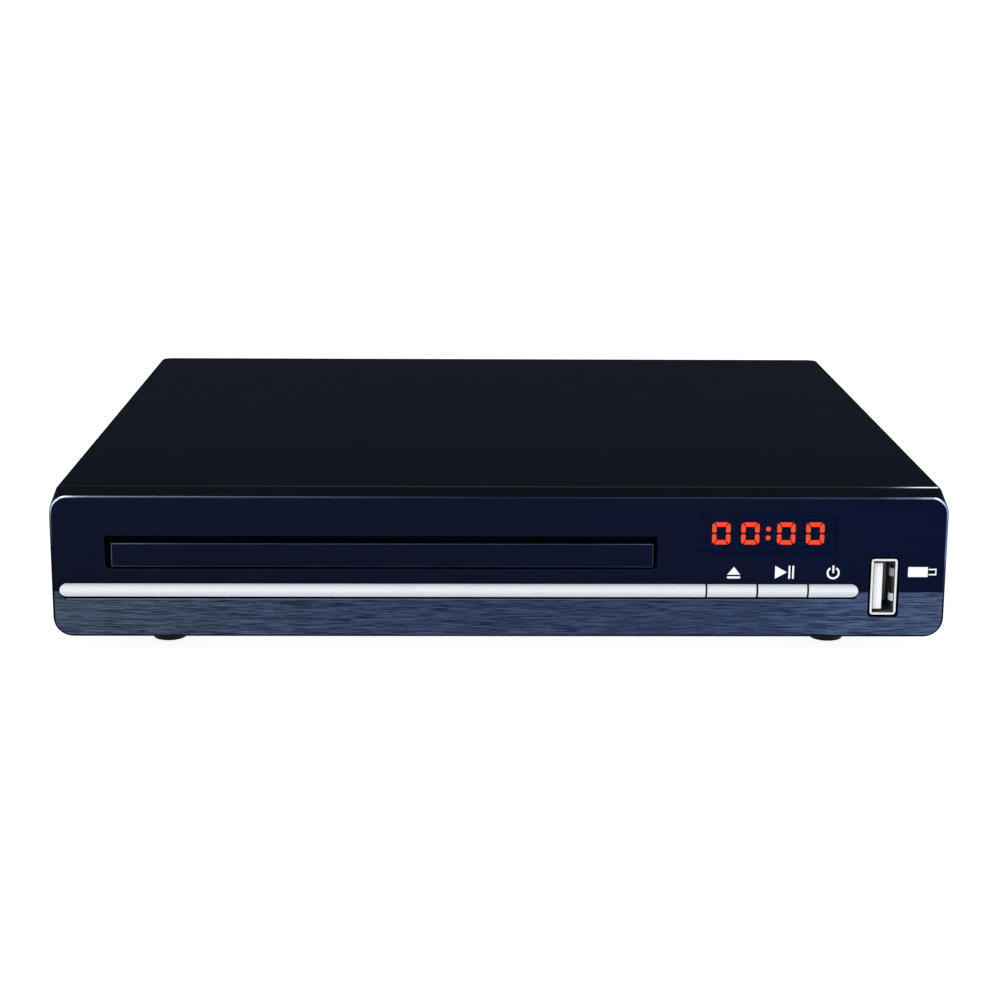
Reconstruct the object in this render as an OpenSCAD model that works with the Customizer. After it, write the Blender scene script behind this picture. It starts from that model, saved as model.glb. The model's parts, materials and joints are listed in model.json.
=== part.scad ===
// Disc player with a sliding tray, as an assembly of its separate pieces.
// Millimetres. X points right, Y points back, Z points up.
// The origin is on the table, below the centre of the whole player.
// The tray is shut and its drive deck is lowered.

/* [Case] */
// Width of the front panel
panel_w = 225.8; // [215:0.1:260]
// Height of the front panel
panel_h = 36.7; // [35:0.1:48]
// Height of the front panel's lower edge above the table
foot_h = 4.4; // [3:0.1:10]
// Depth from the front face to the back of the cover
body_d = 200; // [196:1:260]
// How far the cover's top stands above the front face's upper edge
cover_rise = 1.4; // [0.6:0.1:4]
// How far the cover's side lies inside the front panel's side
cover_inset = 1.1; // [0.5:0.05:3]
// Thickness of the case's steel sheet
sheet_t = 0.8; // [0.5:0.1:1.2]
// Bend radius along the cover's upper side edges
cover_bend = 1.2; // [1.2:0.1:4]
// Plan radius of the cover's rear corners
cover_corner = 4; // [2:0.5:8]
// Height of the chassis floor above the panel's lower edge
pan_lift = 1.4; // [0.4:0.1:3]
// Diameter of a rubber foot at its lower face
foot_dia = 8.5; // [6:0.5:16]
// Distance from the panel's side to a foot's centre
foot_x = 27.3; // [16:0.1:50]
// Distance from the front face to the front feet
foot_y = 15; // [12:0.5:40]
// Diameter of the case screws' heads
screw_head = 5.6; // [4:0.1:7]

/* [Front panel] */
// Thickness of the panel's front wall
wall = 2.8; // [2.4:0.1:4]
// Depth of the panel from its face to the cover's front edge
bezel_d = 5.1; // [4:0.1:9]
// Radius of the face's upper corners
corner_top = 4.4; // [1:0.1:8]
// Radius of the face's lower corners
corner_bottom = 4.9; // [1:0.1:10]
// Rounding of the face's edge
edge_round = 0.6; // [0.3:0.1:1.5]
// Thickness of the glossy face plate
plate_t = 1.2; // [0.8:0.1:1.6]
// Height of the face plate's lower edge above the panel's lower edge
seam_z = 11.9; // [8:0.1:14]
// Width of the display window
window_w = 34.6; // [34:0.1:40]
// Height of the display window
window_h = 10; // [8:0.1:11]
// Distance from the panel's right side to the display's centre
display_x = 45.3; // [44.5:0.1:48.5]
// Height of the display's centre above the panel's lower edge
display_z = 26.85; // [25:0.1:29]
// Height of a digit
digit_h = 5.7; // [4:0.1:7.5]
// Width of a digit
digit_w = 4.6; // [3:0.1:6]
// Stroke width of a digit
digit_stroke = 1.1; // [0.6:0.1:1.3]
// Spacing of two digits
digit_pitch = 7.35; // [6.5:0.05:7.6]

/* [Bar and buttons] */
// Height of the bar's centre above the panel's lower edge
bar_z = 12.3; // [10:0.1:13]
// Height of the bar
bar_h = 3.4; // [3:0.1:5]
// Gap between the bar's left end and the panel's left side
bar_margin = 2.1; // [1.4:0.1:6]
// How far the bar stands out of the face
bar_proud = 0.8; // [0.2:0.1:1.5]
// Distance from the panel's right side to the first button's left edge
buttons_x = 60.55; // [59.5:0.05:61.5]
// Length of one button
button_w = 12.45; // [10:0.05:12.8]
// Gap between two buttons
button_gap = 0.45; // [0.3:0.05:0.6]
// Gap between a button and the edge of its opening
button_slack = 0.3; // [0.3:0.05:0.5]
// Travel of a button
button_travel = 0.4; // [0.2:0.05:0.6]

/* [Front port] */
// Distance from the panel's right side to the port's centre
port_x = 15.7; // [14:0.1:16]
// Height of the port's centre above the panel's lower edge
port_z = 13.25; // [12.2:0.1:13.5]
// Width of the port's metal rim
port_w = 6.6; // [6.2:0.1:7]
// Height of the port's metal rim
port_h = 14.6; // [14:0.1:15.2]
// Gap between the rim and the panel
port_gap = 0.6; // [0.2:0.1:0.9]
// Thickness of the port's sheet metal
port_sheet = 0.4; // [0.3:0.05:0.5]

/* [Tray] */
// Distance from the panel's left side to the middle of the loader and the tray
loader_x = 83; // [81.5:0.1:83.5]
// Width of the tray without its rails
tray_w = 130; // [128:0.5:131]
// Height of the tray
tray_h = 5.1; // [4.6:0.1:5.5]
// Depth of the tray, from the door's back to its rear edge
tray_d = 155; // [152:1:158]
// Travel of the tray
tray_travel = 130; // [100:1:130]
// Diameter of the disc pocket
pocket_dia = 122; // [121:0.5:123]
// Thickness of the tray's floor
tray_floor = 1.4; // [1.2:0.1:1.6]
// Height of the rails and the rack below the floor
rack_h = 2.1; // [1.8:0.1:2.4]
// Width of the door
door_w = 136.5; // [134:0.1:138]
// Height of the door
door_h = 6.1; // [5.8:0.1:6.4]
// Thickness of the door
door_t = 2.2; // [1.4:0.1:2.3]
// How far the door's face lies behind the panel's face
door_set = 0.9; // [0.8:0.1:1.2]
// Width of the panel's recess for the door
recess_w = 139; // [138.6:0.1:141]
// Height of the recess
recess_h = 8.8; // [7.5:0.1:9.4]
// Height of the recess's floor above the panel's lower edge
recess_z = 17.6; // [17:0.1:18]
// Gap below the door
door_gap = 0.45; // [0.3:0.05:0.8]

/* [Disc drive] */
// Distance from the face to the spindle
spindle_y = 67.5; // [67:0.5:69]
// Height of the spindle's platter above the tray's floor when the deck is up
disc_lift = 1.1; // [0.8:0.1:1.3]
// Angle by which the deck is lowered, in degrees
deck_tilt = 3.6; // [3.5:0.1:4]
// Distance from the face to the deck's hinge
pivot_y = 152; // [150:0.5:154]
// Travel of the cam slider
cam_travel = 20; // [18:1:22]
// Travel of the pickup
pickup_travel = 36; // [30:1:36]
// Teeth of the gear that drives the tray's rack
rack_gear_teeth = 20; // [18:1:22]
// Module of the rack and its gear
rack_module = 1; // [0.9:0.05:1.05]
// Teeth of the reduction wheel
wheel_teeth = 36; // [32:1:36]
// Teeth of the pinion on the driven pulley
pinion_teeth = 12; // [12:1:14]
// Module of the reduction pair
wheel_module = 0.8; // [0.7:0.05:0.8]
// Groove radius of the driven pulley
pulley_r = 11.4; // [9:0.1:11.6]
// Groove radius of the motor's pulley
motor_pulley_r = 2.4; // [2:0.1:3]
// Thickness of the belt
belt_t = 1.2; // [1:0.1:1.4]

/* [Boards and jacks] */
// Thickness of a circuit board
board_t = 1.6; // [1:0.1:2]
// Height of the lying boards above the chassis floor
board_lift = 4.4; // [4:0.1:6]
// Distance from the face to the upright front board
front_board_y = 13.5; // [13:0.1:15]
// Outer diameter of a phono jack's barrel
jack_dia = 8.3; // [8:0.1:8.6]
// How far the jacks stand out behind the cover
jack_reach = 8.8; // [6:0.1:12]
// Spacing of the phono jacks
jack_pitch = 13; // [12.5:0.1:14]
// Distance from the panel's right side to the power inlet's centre
inlet_x = 20.5; // [18.5:0.5:24.5]
// Diameter of a power pin
inlet_pin_dia = 2.4; // [2:0.1:2.6]

/* [Hidden] */
$fn = 48;

// Clearances
running = 0.05;   // radial gap of a shaft in its bore
clear = 0.3;      // gap of pieces that pass each other
past = 1;         // how far a cutting shape runs past what it cuts

// Places across the width, from the middle
loader_mid = loader_x - panel_w / 2;
display_mid = panel_w / 2 - display_x;
buttons_left = panel_w / 2 - buttons_x;
port_mid = panel_w / 2 - port_x;
inlet_mid = panel_w / 2 - inlet_x;
foot_mid = panel_w / 2 - foot_x;

// Outer levels and edges. Depths are measured back from the front face.
face_y = bar_proud - (body_d + jack_reach + bar_proud) / 2;
panel_z = foot_h;
panel_top = panel_z + panel_h;
cover_top = panel_top + cover_rise;
cover_w = panel_w - 2 * cover_inset;
pan_z = panel_z + pan_lift;
pan_top = pan_z + sheet_t;
pan_w = cover_w - 2 * sheet_t;
pan_front = bezel_d + 0.2;
rear_y = body_d - sheet_t;
rear_in = rear_y - sheet_t;
rear_half = cover_w / 2 - cover_corner - 0.1;
cover_low = pan_z + 0.4;
cover_lip = 8;
rim_t = 1.3;
rim_d = 4;
rim_gap = 0.3;
pan_side_y = bezel_d + rim_d + 0.5;
pan_side_h = 12;
foot_stem_dia = 4;
foot_rear_y = body_d - 20;

// Face levels
seam_level = panel_z + seam_z;
bar_level = panel_z + bar_z;
bar_left = -panel_w / 2 + bar_margin;
bar_right = buttons_left - button_gap;
bar_seat = 1.4;
button_pitch = button_w + button_gap;
display_level = panel_z + display_z;
port_level = panel_z + port_z;
port_hole_w = port_w + 2 * port_gap;
port_hole_h = port_h + 2 * port_gap;
colon_half = digit_pitch * 0.617;

// Tray levels
recess_low = panel_z + recess_z;
recess_top = recess_low + recess_h;
recess_floor_y = door_set + door_t + clear;
recess_wall = 1.6;
door_low = recess_low + door_gap;
tray_y = door_set + door_t;
tray_low = door_low + (door_h - tray_h) / 2;
tray_top = tray_low + tray_h;
tray_floor_low = tray_low + rack_h;
disc_level = tray_floor_low + tray_floor;
rail_t = 1.5;
rail_reach = 1.3;
tray_half = tray_w / 2;
rail_half = tray_half + rail_reach;
slot_half = rail_half + 0.4;
turntable_gap_r = 17;
lens_gap_half = 14;
lens_gap_end = spindle_y + 68.5;

// Loader frame
frame_half = rail_half + clear;
frame_wall = 2.4;
frame_out = frame_half + frame_wall;
frame_front = 8;
frame_back = tray_y + tray_d + 13;
frame_low = 12;
bridge_z = tray_top + 4;
shelf_t = 1.6;
shelf_top = tray_low - 5.35;
shelf_low = shelf_top - shelf_t;
shelf_back = 40.7;
ledge_w = 2.1;
lug_w = 8;
lug_y = [28, frame_back - 8];
lug_top = frame_low + 2;
lug_x = frame_out + lug_w / 2;

// Tray drive
gear_r = rack_module * rack_gear_teeth / 2;
gear_x = -46;
gear_y = 24;
rack_x = gear_x - gear_r;
rack_pitch = PI * rack_module;
wheel_r = wheel_module * wheel_teeth / 2;
pinion_r = wheel_module * pinion_teeth / 2;
pulley_x = gear_x + wheel_r + pinion_r;
motor_x = 6;
motor_y = 22;
motor_r = 10.5;
motor_h = shelf_low - pan_top - 0.6;
tooth_play = 0.22;
pulley_low = shelf_top + clear;
pulley_h = 2.6;
wheel_low = pulley_low + pulley_h + 0.4;
wheel_t = tray_low - clear - wheel_low - 0.1;
gear_top = tray_floor_low - 0.35;
gear_axle_r = 2;
pulley_axle_r = 1.5;
motor_shaft_r = 1;
belt_gap = 0.06;

// Deck, drawn level and then lowered by deck_tilt about its hinge
platter_top = disc_level + disc_lift;
deck_top = platter_top - 8;
deck_t = 2;
deck_low = deck_top - deck_t;
pivot_z = deck_top - deck_t / 2;
deck_front = 45.5;
deck_half = 31;
deck_back = pivot_y + 4;
pivot_r = 2;
ear_in = deck_half + 2.5;
ear_t = 3;
cam_pin_x = 20;
cam_pin_r = 1.5;
cam_y = 41;
cam_t = 2.4;
cam_slack = 0.25;
cam_pin_y = cam_y + cam_t / 2;
cam_rise = (pivot_y - cam_pin_y) * sin(deck_tilt);
cam_low = pivot_z - cam_rise;
cam_left = -cam_pin_x - 4;
cam_right = cam_pin_x + cam_travel + 4;
cam_rack_left = cam_left + 7;
cam_rack_right = cam_rack_left + 24;
rod_x = 26;
rod_r = 1.5;
rod_z = deck_top + rod_r + 1.1;
rod_front = 78.5;
rod_back = 147.5;
block_t = 3.5;
pickup_front = spindle_y + 14.5;
pickup_len = 22;
pickup_back = pickup_front + pickup_len;
lens_y = spindle_y + 24;
window_front = spindle_y + 13.8;
window_back = pickup_back + pickup_travel + 2.5;
screw_x = -24;
screw_z = deck_top - 6.95;
screw_r = 1.2;
screw_front = pickup_back - 8.5;
feed_motor_y = window_back + 0.6;
screw_back = feed_motor_y + 8;
nut_y = pickup_back - 3.5;
feed_motor_r = 4.7;

// Clamp
clamp_low = tray_top + 0.35;
bridge_t = 1.2;
bridge_half = 10.5;
bridge_reach = frame_out + 5;
clamp_hole_r = 14;
clamp_r = 13.4;
clamp_flange_r = 18;
magnet_r = 10;

// Lying boards
board_low = pan_top + board_lift;
board_top = board_low + board_t;
main_x = [loader_mid + frame_out + lug_w + 2.9, panel_w / 2 - 6.5];
main_y = [front_board_y + 10.5, 98];
power_x = [main_x[0] + 12, main_x[1]];
power_y = [main_y[1] + 6, rear_in - 22];
jack_board_x = [-62, main_x[0] + 10];
jack_board_y = [rear_in - 20.4, rear_in - 0.2];
jack_first = -52;
jack_count = 4;
jack_level = board_top + 7.4;
jack_stem_r = jack_dia / 2 - 0.25;
jack_bore_r = jack_stem_r - 0.6;
jack_pin_r = 1.6;
jack_seat = 8;
collar_t = 2.2;
video_x = 25;
video_w = 15;
video_h = 6;
inlet_level = pan_top + 12.4;
inlet_pitch = 8.6;
inlet_r = 4.1;
inlet_depth = 10;
inlet_tab_r = 0.9;
lead_r = 1.1;
socket_h = 5;
main_sockets = [[main_x[0] + 5, main_y[1] - 4, 9], [main_x[0] + 35, main_y[1] - 4, 12],
    [main_x[0] + 27, main_y[0] + 5, 14]];
power_sockets = [[main_sockets[1][0], power_y[0] + 5, 12], [inlet_mid, power_y[1] - 6, 12]];
jack_sockets = [[main_sockets[0][0], jack_board_y[0] + 4, 9]];
standoff_r = 2.8;
screw_r_small = 1.2;
front_board_x = [display_mid - window_w / 2 - 5.8, panel_w / 2 - 3.5];
front_board_z = [panel_z + 4.7, panel_top - 3.7];
boss_spots = [for (x = [front_board_x[0] + 2.9, front_board_x[1] - 3],
    z = [panel_z + 7.4, panel_top - 6.6]) [x, z]];

// Cover vents and screws
vent_w = 1.8;
vent_h = 12;
vent_pitch = 5;
vent_count = 12;
vent_y = 90;
vent_z = cover_low + 14;
rear_vent_z = panel_z + 24;
rear_screw_z = cover_top - 4.5;
screw_r_big = 1.9;
screw_r_shank = 1.5;
screw_cap_h = 1.2;
foot_spots = [for (m = [-1, 1], y = [foot_y, foot_rear_y]) [m * foot_mid, y]];

// Small parts of the front
buttons_end = buttons_left + 3 * button_w + 2 * button_gap;
bar_pegs = [bar_left + 11, (bar_left + bar_right) / 2, bar_right - 12];
bar_peg_r = 1.5;
collar_reach = 1;
plunger_y = front_board_y - 4.9;
switch_y = front_board_y - 3.5;
plunger_r = 1.7;
led_w = window_w - 0.3;
led_h = window_h - 0.3;
led_front = plate_t + 0.25;
segment_t = 0.15;
sensor_spot = [panel_w / 2 - 21.5, display_level];
sensor_r = 2.2;
front_socket_z = board_top + 12;
port_front = 0.15;
port_gap_left = 0.25;
port_tongue_t = 2.25;
port_step = 0.15;

// Small parts of the loader
rim_wall = 1.6;
door_shift = 0.3;
bridge_screw_x = frame_out + 2.4;
bridge_screw_y = [spindle_y - 7, spindle_y + 7];
cam_posts = [-16, 16];
cam_guide_y = 39.3;
cam_post_r = 1.4;
inlet_body = [20.4, 12.4];

main_posts = [for (x = [main_x[0] + 3.5, main_x[1] - 3.5], y = [main_y[0] + 10, main_y[1] - 14]) [x, y]];
power_posts = [for (x = [power_x[0] + 3.5, power_x[1] - 3.5],
    y = [power_y[0] + 12, power_y[1] - 16]) [x, y]];
jack_posts = [[jack_board_x[0] + 4, jack_board_y[0] + 4], [0, jack_board_y[0] + 4],
    [jack_board_x[1] - 14, jack_board_y[0] + 4]];
loader_posts = [for (s = [-1, 1], y = lug_y) [loader_mid + s * lug_x, y]];
side_screws = [[60, 11], [body_d - 50, 11]];
rear_screws = [17.5 - panel_w / 2, 0, panel_w / 2 - 8.5];
rear_tab_x = rear_half - 36;

// ---- Shared shapes ----

// A box between two corners.
module block(low, high) {
    translate(low) cube(high - low);
}

// Round bars along each axis. c is the centre in the plane across the bar.
module bar_along_x(x0, x1, c, r) {
    translate([x0, c[0], c[1]]) rotate([0, 90, 0]) cylinder(h = x1 - x0, r = r);
}
module bar_along_y(y0, y1, c, r) {
    translate([c[0], y1, c[1]]) rotate([90, 0, 0]) cylinder(h = y1 - y0, r = r);
}
module bar_along_z(z0, z1, c, r) {
    translate([c[0], c[1], z0]) cylinder(h = z1 - z0, r = r);
}

// A flat outline in X and Z, given thickness between two depths.
module upright(y0, y1) {
    translate([0, y1, 0]) rotate([90, 0, 0]) linear_extrude(y1 - y0) children();
}

// Case coordinates: depth is measured back from the front face.
module in_case() {
    translate([0, face_y, 0]) children();
}

// The same, centred on the loader.
module in_loader() {
    translate([loader_mid, face_y, 0]) children();
}

// Pieces on the deck are drawn level, then lowered about the hinge.
module on_deck() {
    in_loader() translate([0, pivot_y, pivot_z]) rotate([deck_tilt, 0, 0])
        translate([0, -pivot_y, -pivot_z]) children();
}

function arc(cx, cz, r, from, to, steps = 8) =
    [for (i = [0:steps]) let (a = from + (to - from) * i / steps) [cx + r * cos(a), cz + r * sin(a)]];

// The face's rounded outline, drawn in by an inset.
function face_points(inset) =
    let (w = panel_w / 2 - inset, low = panel_z + inset, top = panel_top - inset)
    let (rt = max(corner_top - inset, 0.4), rb = max(corner_bottom - inset, 0.4))
    concat(arc(w - rt, top - rt, rt, 0, 90), arc(rt - w, top - rt, rt, 90, 180),
        arc(rb - w, low + rb, rb, 180, 270), arc(w - rb, low + rb, rb, 270, 360));

module rounded_rect(w, h, r) {
    square([w - 2 * r, h], center = true);
    square([w, h - 2 * r], center = true);
    for (x = [-1, 1], y = [-1, 1]) translate([x * (w / 2 - r), y * (h / 2 - r)]) circle(r);
}

// Involute gear outline. play is taken off each tooth's width.
function involute(a) = tan(a) * 180 / PI - a;
function tooth_side(rp, rb, r, s) =
    s / 2 / rp * 180 / PI + involute(20) - involute(acos(min(1, rb / max(r, rb))));
function gear_points(m, teeth, play) =
    let (rp = m * teeth / 2, rb = rp * cos(20), root = rp - 1.2 * m, tip = rp + 0.9 * m)
    let (s = PI * m / 2 - play, start = max(root, rb))
    let (radii = [for (i = [0:3]) start + (tip - start) * i / 3])
    [for (k = [0:teeth - 1]) let (c = 360 * k / teeth)
        each concat([root * [cos(c - tooth_side(rp, rb, start, s) - 1),
            sin(c - tooth_side(rp, rb, start, s) - 1)]],
            [for (r = radii) let (a = c - tooth_side(rp, rb, r, s)) r * [cos(a), sin(a)]],
            [for (i = [3:-1:0])
                let (r = radii[i], a = c + tooth_side(rp, rb, r, s)) r * [cos(a), sin(a)]],
            [root * [cos(c + tooth_side(rp, rb, start, s) + 1),
                sin(c + tooth_side(rp, rb, start, s) + 1)]])];

// Rack teeth along +Y that point to +X, with a gap centred on y = 0.
module rack_teeth(m, from, to, play) {
    p = PI * m;
    half = p / 4 - play / 2;
    for (i = [ceil(from / p):floor(to / p) - 1])
        translate([0, (i + 0.5) * p])
            polygon([[-1.2 * m, -half - 1.2 * m * tan(20)], [0.9 * m, -half + 0.9 * m * tan(20)],
                [0.9 * m, half - 0.9 * m * tan(20)], [-1.2 * m, half + 1.2 * m * tan(20)]]);
}

// The area inside a belt on two pulleys, the first at the origin.
module belt_area(r1, r2, d) {
    a = acos((r1 - r2) / d);
    far = [for (p = arc(0, 0, r2, -a, a, 30)) p + [d, 0]];
    polygon(concat(arc(0, 0, r1, a, 360 - a, 36), far));
}

// The bar's outline, round at the ends that are asked for.
module bar_outline(x0, x1, grow, round_left, round_right) {
    h = bar_h + 2 * grow;
    left = x0 - grow;
    right = x1 + grow;
    a = left + (round_left ? h / 2 : 0);
    b = right - (round_right ? h / 2 : 0);
    translate([a, bar_level - h / 2]) square([b - a, h]);
    if (round_left) translate([a, bar_level]) circle(h / 2);
    if (round_right) translate([b, bar_level]) circle(h / 2);
}

// A convex strip of the bar: its face is part of a long round surface.
module bar_strip(x0, x1, back, round_left, round_right) {
    edge = 0.15;
    sag = bar_proud - edge;
    r = ((bar_h / 2) ^ 2 + sag ^ 2) / (2 * sag);
    intersection() {
        upright(-bar_proud, back) bar_outline(x0, x1, 0, round_left, round_right);
        union() {
            bar_along_x(x0 - past, x1 + past, [r - bar_proud, bar_level], r);
            block([x0 - past, r - bar_proud, bar_level - bar_h],
                [x1 + past, back + past + r, bar_level + bar_h]);
        }
    }
}

// ---- Case ----

// The cover's outer form, drawn in by an inset and run on at its open front and underside.
module cover_form(inset, run_on) {
    half = cover_w / 2 - inset;
    top = cover_top - inset;
    low = cover_low - run_on;
    bend = cover_bend - inset;
    back = body_d - inset;
    front = bezel_d - run_on;
    corner = cover_corner - inset;
    intersection() {
        upright(front, back) {
            translate([-half, low]) square([2 * half, top - bend - low]);
            translate([bend - half, low]) square([2 * (half - bend), top - low]);
            for (s = [-1, 1]) translate([s * (half - bend), top - bend]) circle(bend);
        }
        translate([0, 0, low]) linear_extrude(top - low) {
            translate([-half, front]) square([2 * half, back - corner - front]);
            translate([corner - half, front]) square([2 * (half - corner), back - front]);
            for (s = [-1, 1]) translate([s * (half - corner), back - corner]) circle(corner);
        }
    }
}

module top_cover() {
    color([0.09, 0.09, 0.11]) in_case() difference() {
        cover_form(0, 0);
        cover_form(sheet_t, past);
        block([cover_corner - cover_w / 2, rear_y - past, cover_low - past],
            [cover_w / 2 - cover_corner, body_d + past, cover_top - cover_lip]);
        for (i = [0:vent_count - 1])
            block([-cover_w, vent_y + i * vent_pitch, vent_z],
                [cover_w, vent_y + i * vent_pitch + vent_w, vent_z + vent_h]);
        for (s = side_screws) bar_along_x(-cover_w, cover_w, [s[0], cover_low + s[1]], screw_r_big);
        for (x = rear_screws) bar_along_y(rear_y - past, body_d + past, [x, rear_screw_z], screw_r_big);
    }
}

module standoff(spot, top) {
    bar_along_z(pan_top, top, spot, standoff_r);
}

// Floor, side flanges, a turned-up front edge and the posts that carry the insides.
module chassis_pan() {
    half = pan_w / 2;
    color([0.62, 0.63, 0.65]) in_case() difference() {
        union() {
            block([-half, pan_front, pan_z], [half, body_d - cover_corner, pan_top]);
            block([-rear_half, pan_front, pan_z], [rear_half, rear_in, pan_top]);
            for (s = [-1, 1])
                block([min(s * half, s * (half - sheet_t)), pan_side_y, pan_z],
                    [max(s * half, s * (half - sheet_t)), body_d - cover_corner - 1,
                        pan_top + pan_side_h]);
            for (s = loader_posts) bar_along_z(pan_top, frame_low, s, 4);
            for (s = concat(main_posts, power_posts, jack_posts)) standoff(s, board_low);
            for (s = [-1, 1])
                block([s * rear_tab_x - 7, rear_in - sheet_t, pan_z],
                    [s * rear_tab_x + 7, rear_in, pan_top + 7]);
        }
        for (s = foot_spots) bar_along_z(pan_z - past, pan_top + past, s, foot_stem_dia / 2 + running);
        for (s = loader_posts) bar_along_z(pan_z - past, frame_low + past, s, screw_r_small + running);
        for (s = concat(main_posts, power_posts, jack_posts))
            bar_along_z(pan_top + past, board_low + past, s, screw_r_small + running);
        for (s = side_screws)
            bar_along_x(-panel_w, panel_w, [s[0], cover_low + s[1]], screw_r_shank + running);
        for (i = [0:7])
            block([power_x[0] + 4 + 4.4 * i, power_y[0] + 24, pan_z - past],
                [power_x[0] + 6 + 4.4 * i, power_y[0] + 46, pan_top + past]);
    }
}

// Back wall with the openings for the jacks and the inlet.
module rear_panel() {
    top = cover_top - sheet_t - 0.2;
    color([0.1, 0.1, 0.12]) in_case() difference() {
        union() {
            block([-rear_half, rear_in, pan_z], [rear_half, rear_y, top]);
            block([-rear_half, rear_in - 7, top - sheet_t], [rear_half, rear_in, top]);
        }
        for (i = [0:jack_count - 1])
            bar_along_y(rear_in - past, rear_y + past, [jack_first + i * jack_pitch, jack_level],
                jack_stem_r + clear);
        block([video_x - video_w / 2 - 0.5, rear_in - past, board_top - 0.5],
            [video_x + video_w / 2 + 0.5, rear_y + past, board_top + video_h + 0.5]);
        block([inlet_mid - inlet_body[0] / 2 - 0.2, rear_in - past,
            inlet_level - inlet_body[1] / 2 - 0.2],
            [inlet_mid + inlet_body[0] / 2 + 0.2, rear_y + past, inlet_level + inlet_body[1] / 2 + 0.2]);
        for (x = rear_screws)
            bar_along_y(rear_in - past, rear_y + past, [x, rear_screw_z], screw_r_shank + running);
        for (i = [0:9], j = [0:1])
            block([video_x + 13 + 3.6 * i, rear_in - past, rear_vent_z + 5 * j],
                [video_x + 14.6 + 3.6 * i, rear_y + past, rear_vent_z + 3.4 + 5 * j]);
    }
}

module rubber_feet() {
    color([0.12, 0.12, 0.13]) in_case() for (s = foot_spots) translate([s[0], s[1], 0]) {
        cylinder(h = pan_z, r1 = foot_dia / 2, r2 = foot_dia / 2 + 0.8);
        translate([0, 0, pan_z]) cylinder(h = sheet_t + 0.8, r = foot_stem_dia / 2);
    }
}

// Screws that hold the cover, at the sides and the back. Heads lie outside the sheet.
module cover_screws() {
    color([0.2, 0.2, 0.21]) in_case() {
        for (m = [0, 1]) mirror([m, 0, 0]) for (s = side_screws) {
            bar_along_x(cover_w / 2 - 5, cover_w / 2, [s[0], cover_low + s[1]], screw_r_shank);
            translate([cover_w / 2, s[0], cover_low + s[1]]) rotate([0, 90, 0]) screw_cap();
        }
        for (x = rear_screws) {
            bar_along_y(rear_in - 4, body_d, [x, rear_screw_z], screw_r_shank);
            translate([x, body_d, rear_screw_z]) rotate([-90, 0, 0]) screw_cap();
        }
    }
}

// A low round head with a cross recess, standing on z = 0.
module screw_cap() {
    difference() {
        cylinder(h = screw_cap_h, r1 = screw_head / 2, r2 = screw_head / 2 - 0.6);
        for (a = [0, 90]) rotate(a)
            translate([-screw_head * 0.3, -0.35, screw_cap_h - 0.6]) cube([screw_head * 0.6, 0.7, 1]);
    }
}

// Screws inside: loader to the pan, clamp bridge to the loader, boards to their posts.
module inner_screws() {
    color([0.75, 0.74, 0.7]) in_case() {
        for (s = loader_posts) inner_screw(s, lug_top, 6);
        for (s = concat(main_posts, power_posts, jack_posts)) inner_screw(s, board_top, 4);
        for (m = [-1, 1], y = bridge_screw_y)
            inner_screw([loader_mid + m * bridge_screw_x, y], bridge_z + bridge_t, 4);
        for (s = boss_spots) {
            bar_along_y(front_board_y - 4, front_board_y + board_t, s, screw_r_small);
            bar_along_y(front_board_y + board_t, front_board_y + board_t + 1.2, s, screw_r_small + 1.2);
        }
    }
}

module inner_screw(spot, seat, depth) {
    bar_along_z(seat - depth, seat, spot, screw_r_small);
    bar_along_z(seat, seat + 1.2, spot, screw_r_small + 1.2);
}

// ---- Front ----

module face_slice(y, inset) {
    upright(y, y + 0.01) polygon(face_points(inset));
}

module plate_outline() {
    intersection() {
        polygon(face_points(edge_round));
        translate([-panel_w / 2, seam_level]) square([panel_w, panel_h]);
    }
}

module front_openings(y0, y1) {
    block([loader_mid - recess_w / 2, y0, recess_low],
        [loader_mid + recess_w / 2, min(y1, recess_floor_y), recess_top]);
    upright(y0, y1) translate([port_mid, port_level]) rounded_rect(port_hole_w, port_hole_h, 0.9);
    upright(y0, y1) bar_outline(buttons_left, buttons_end, button_slack, false, true);
}

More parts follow.
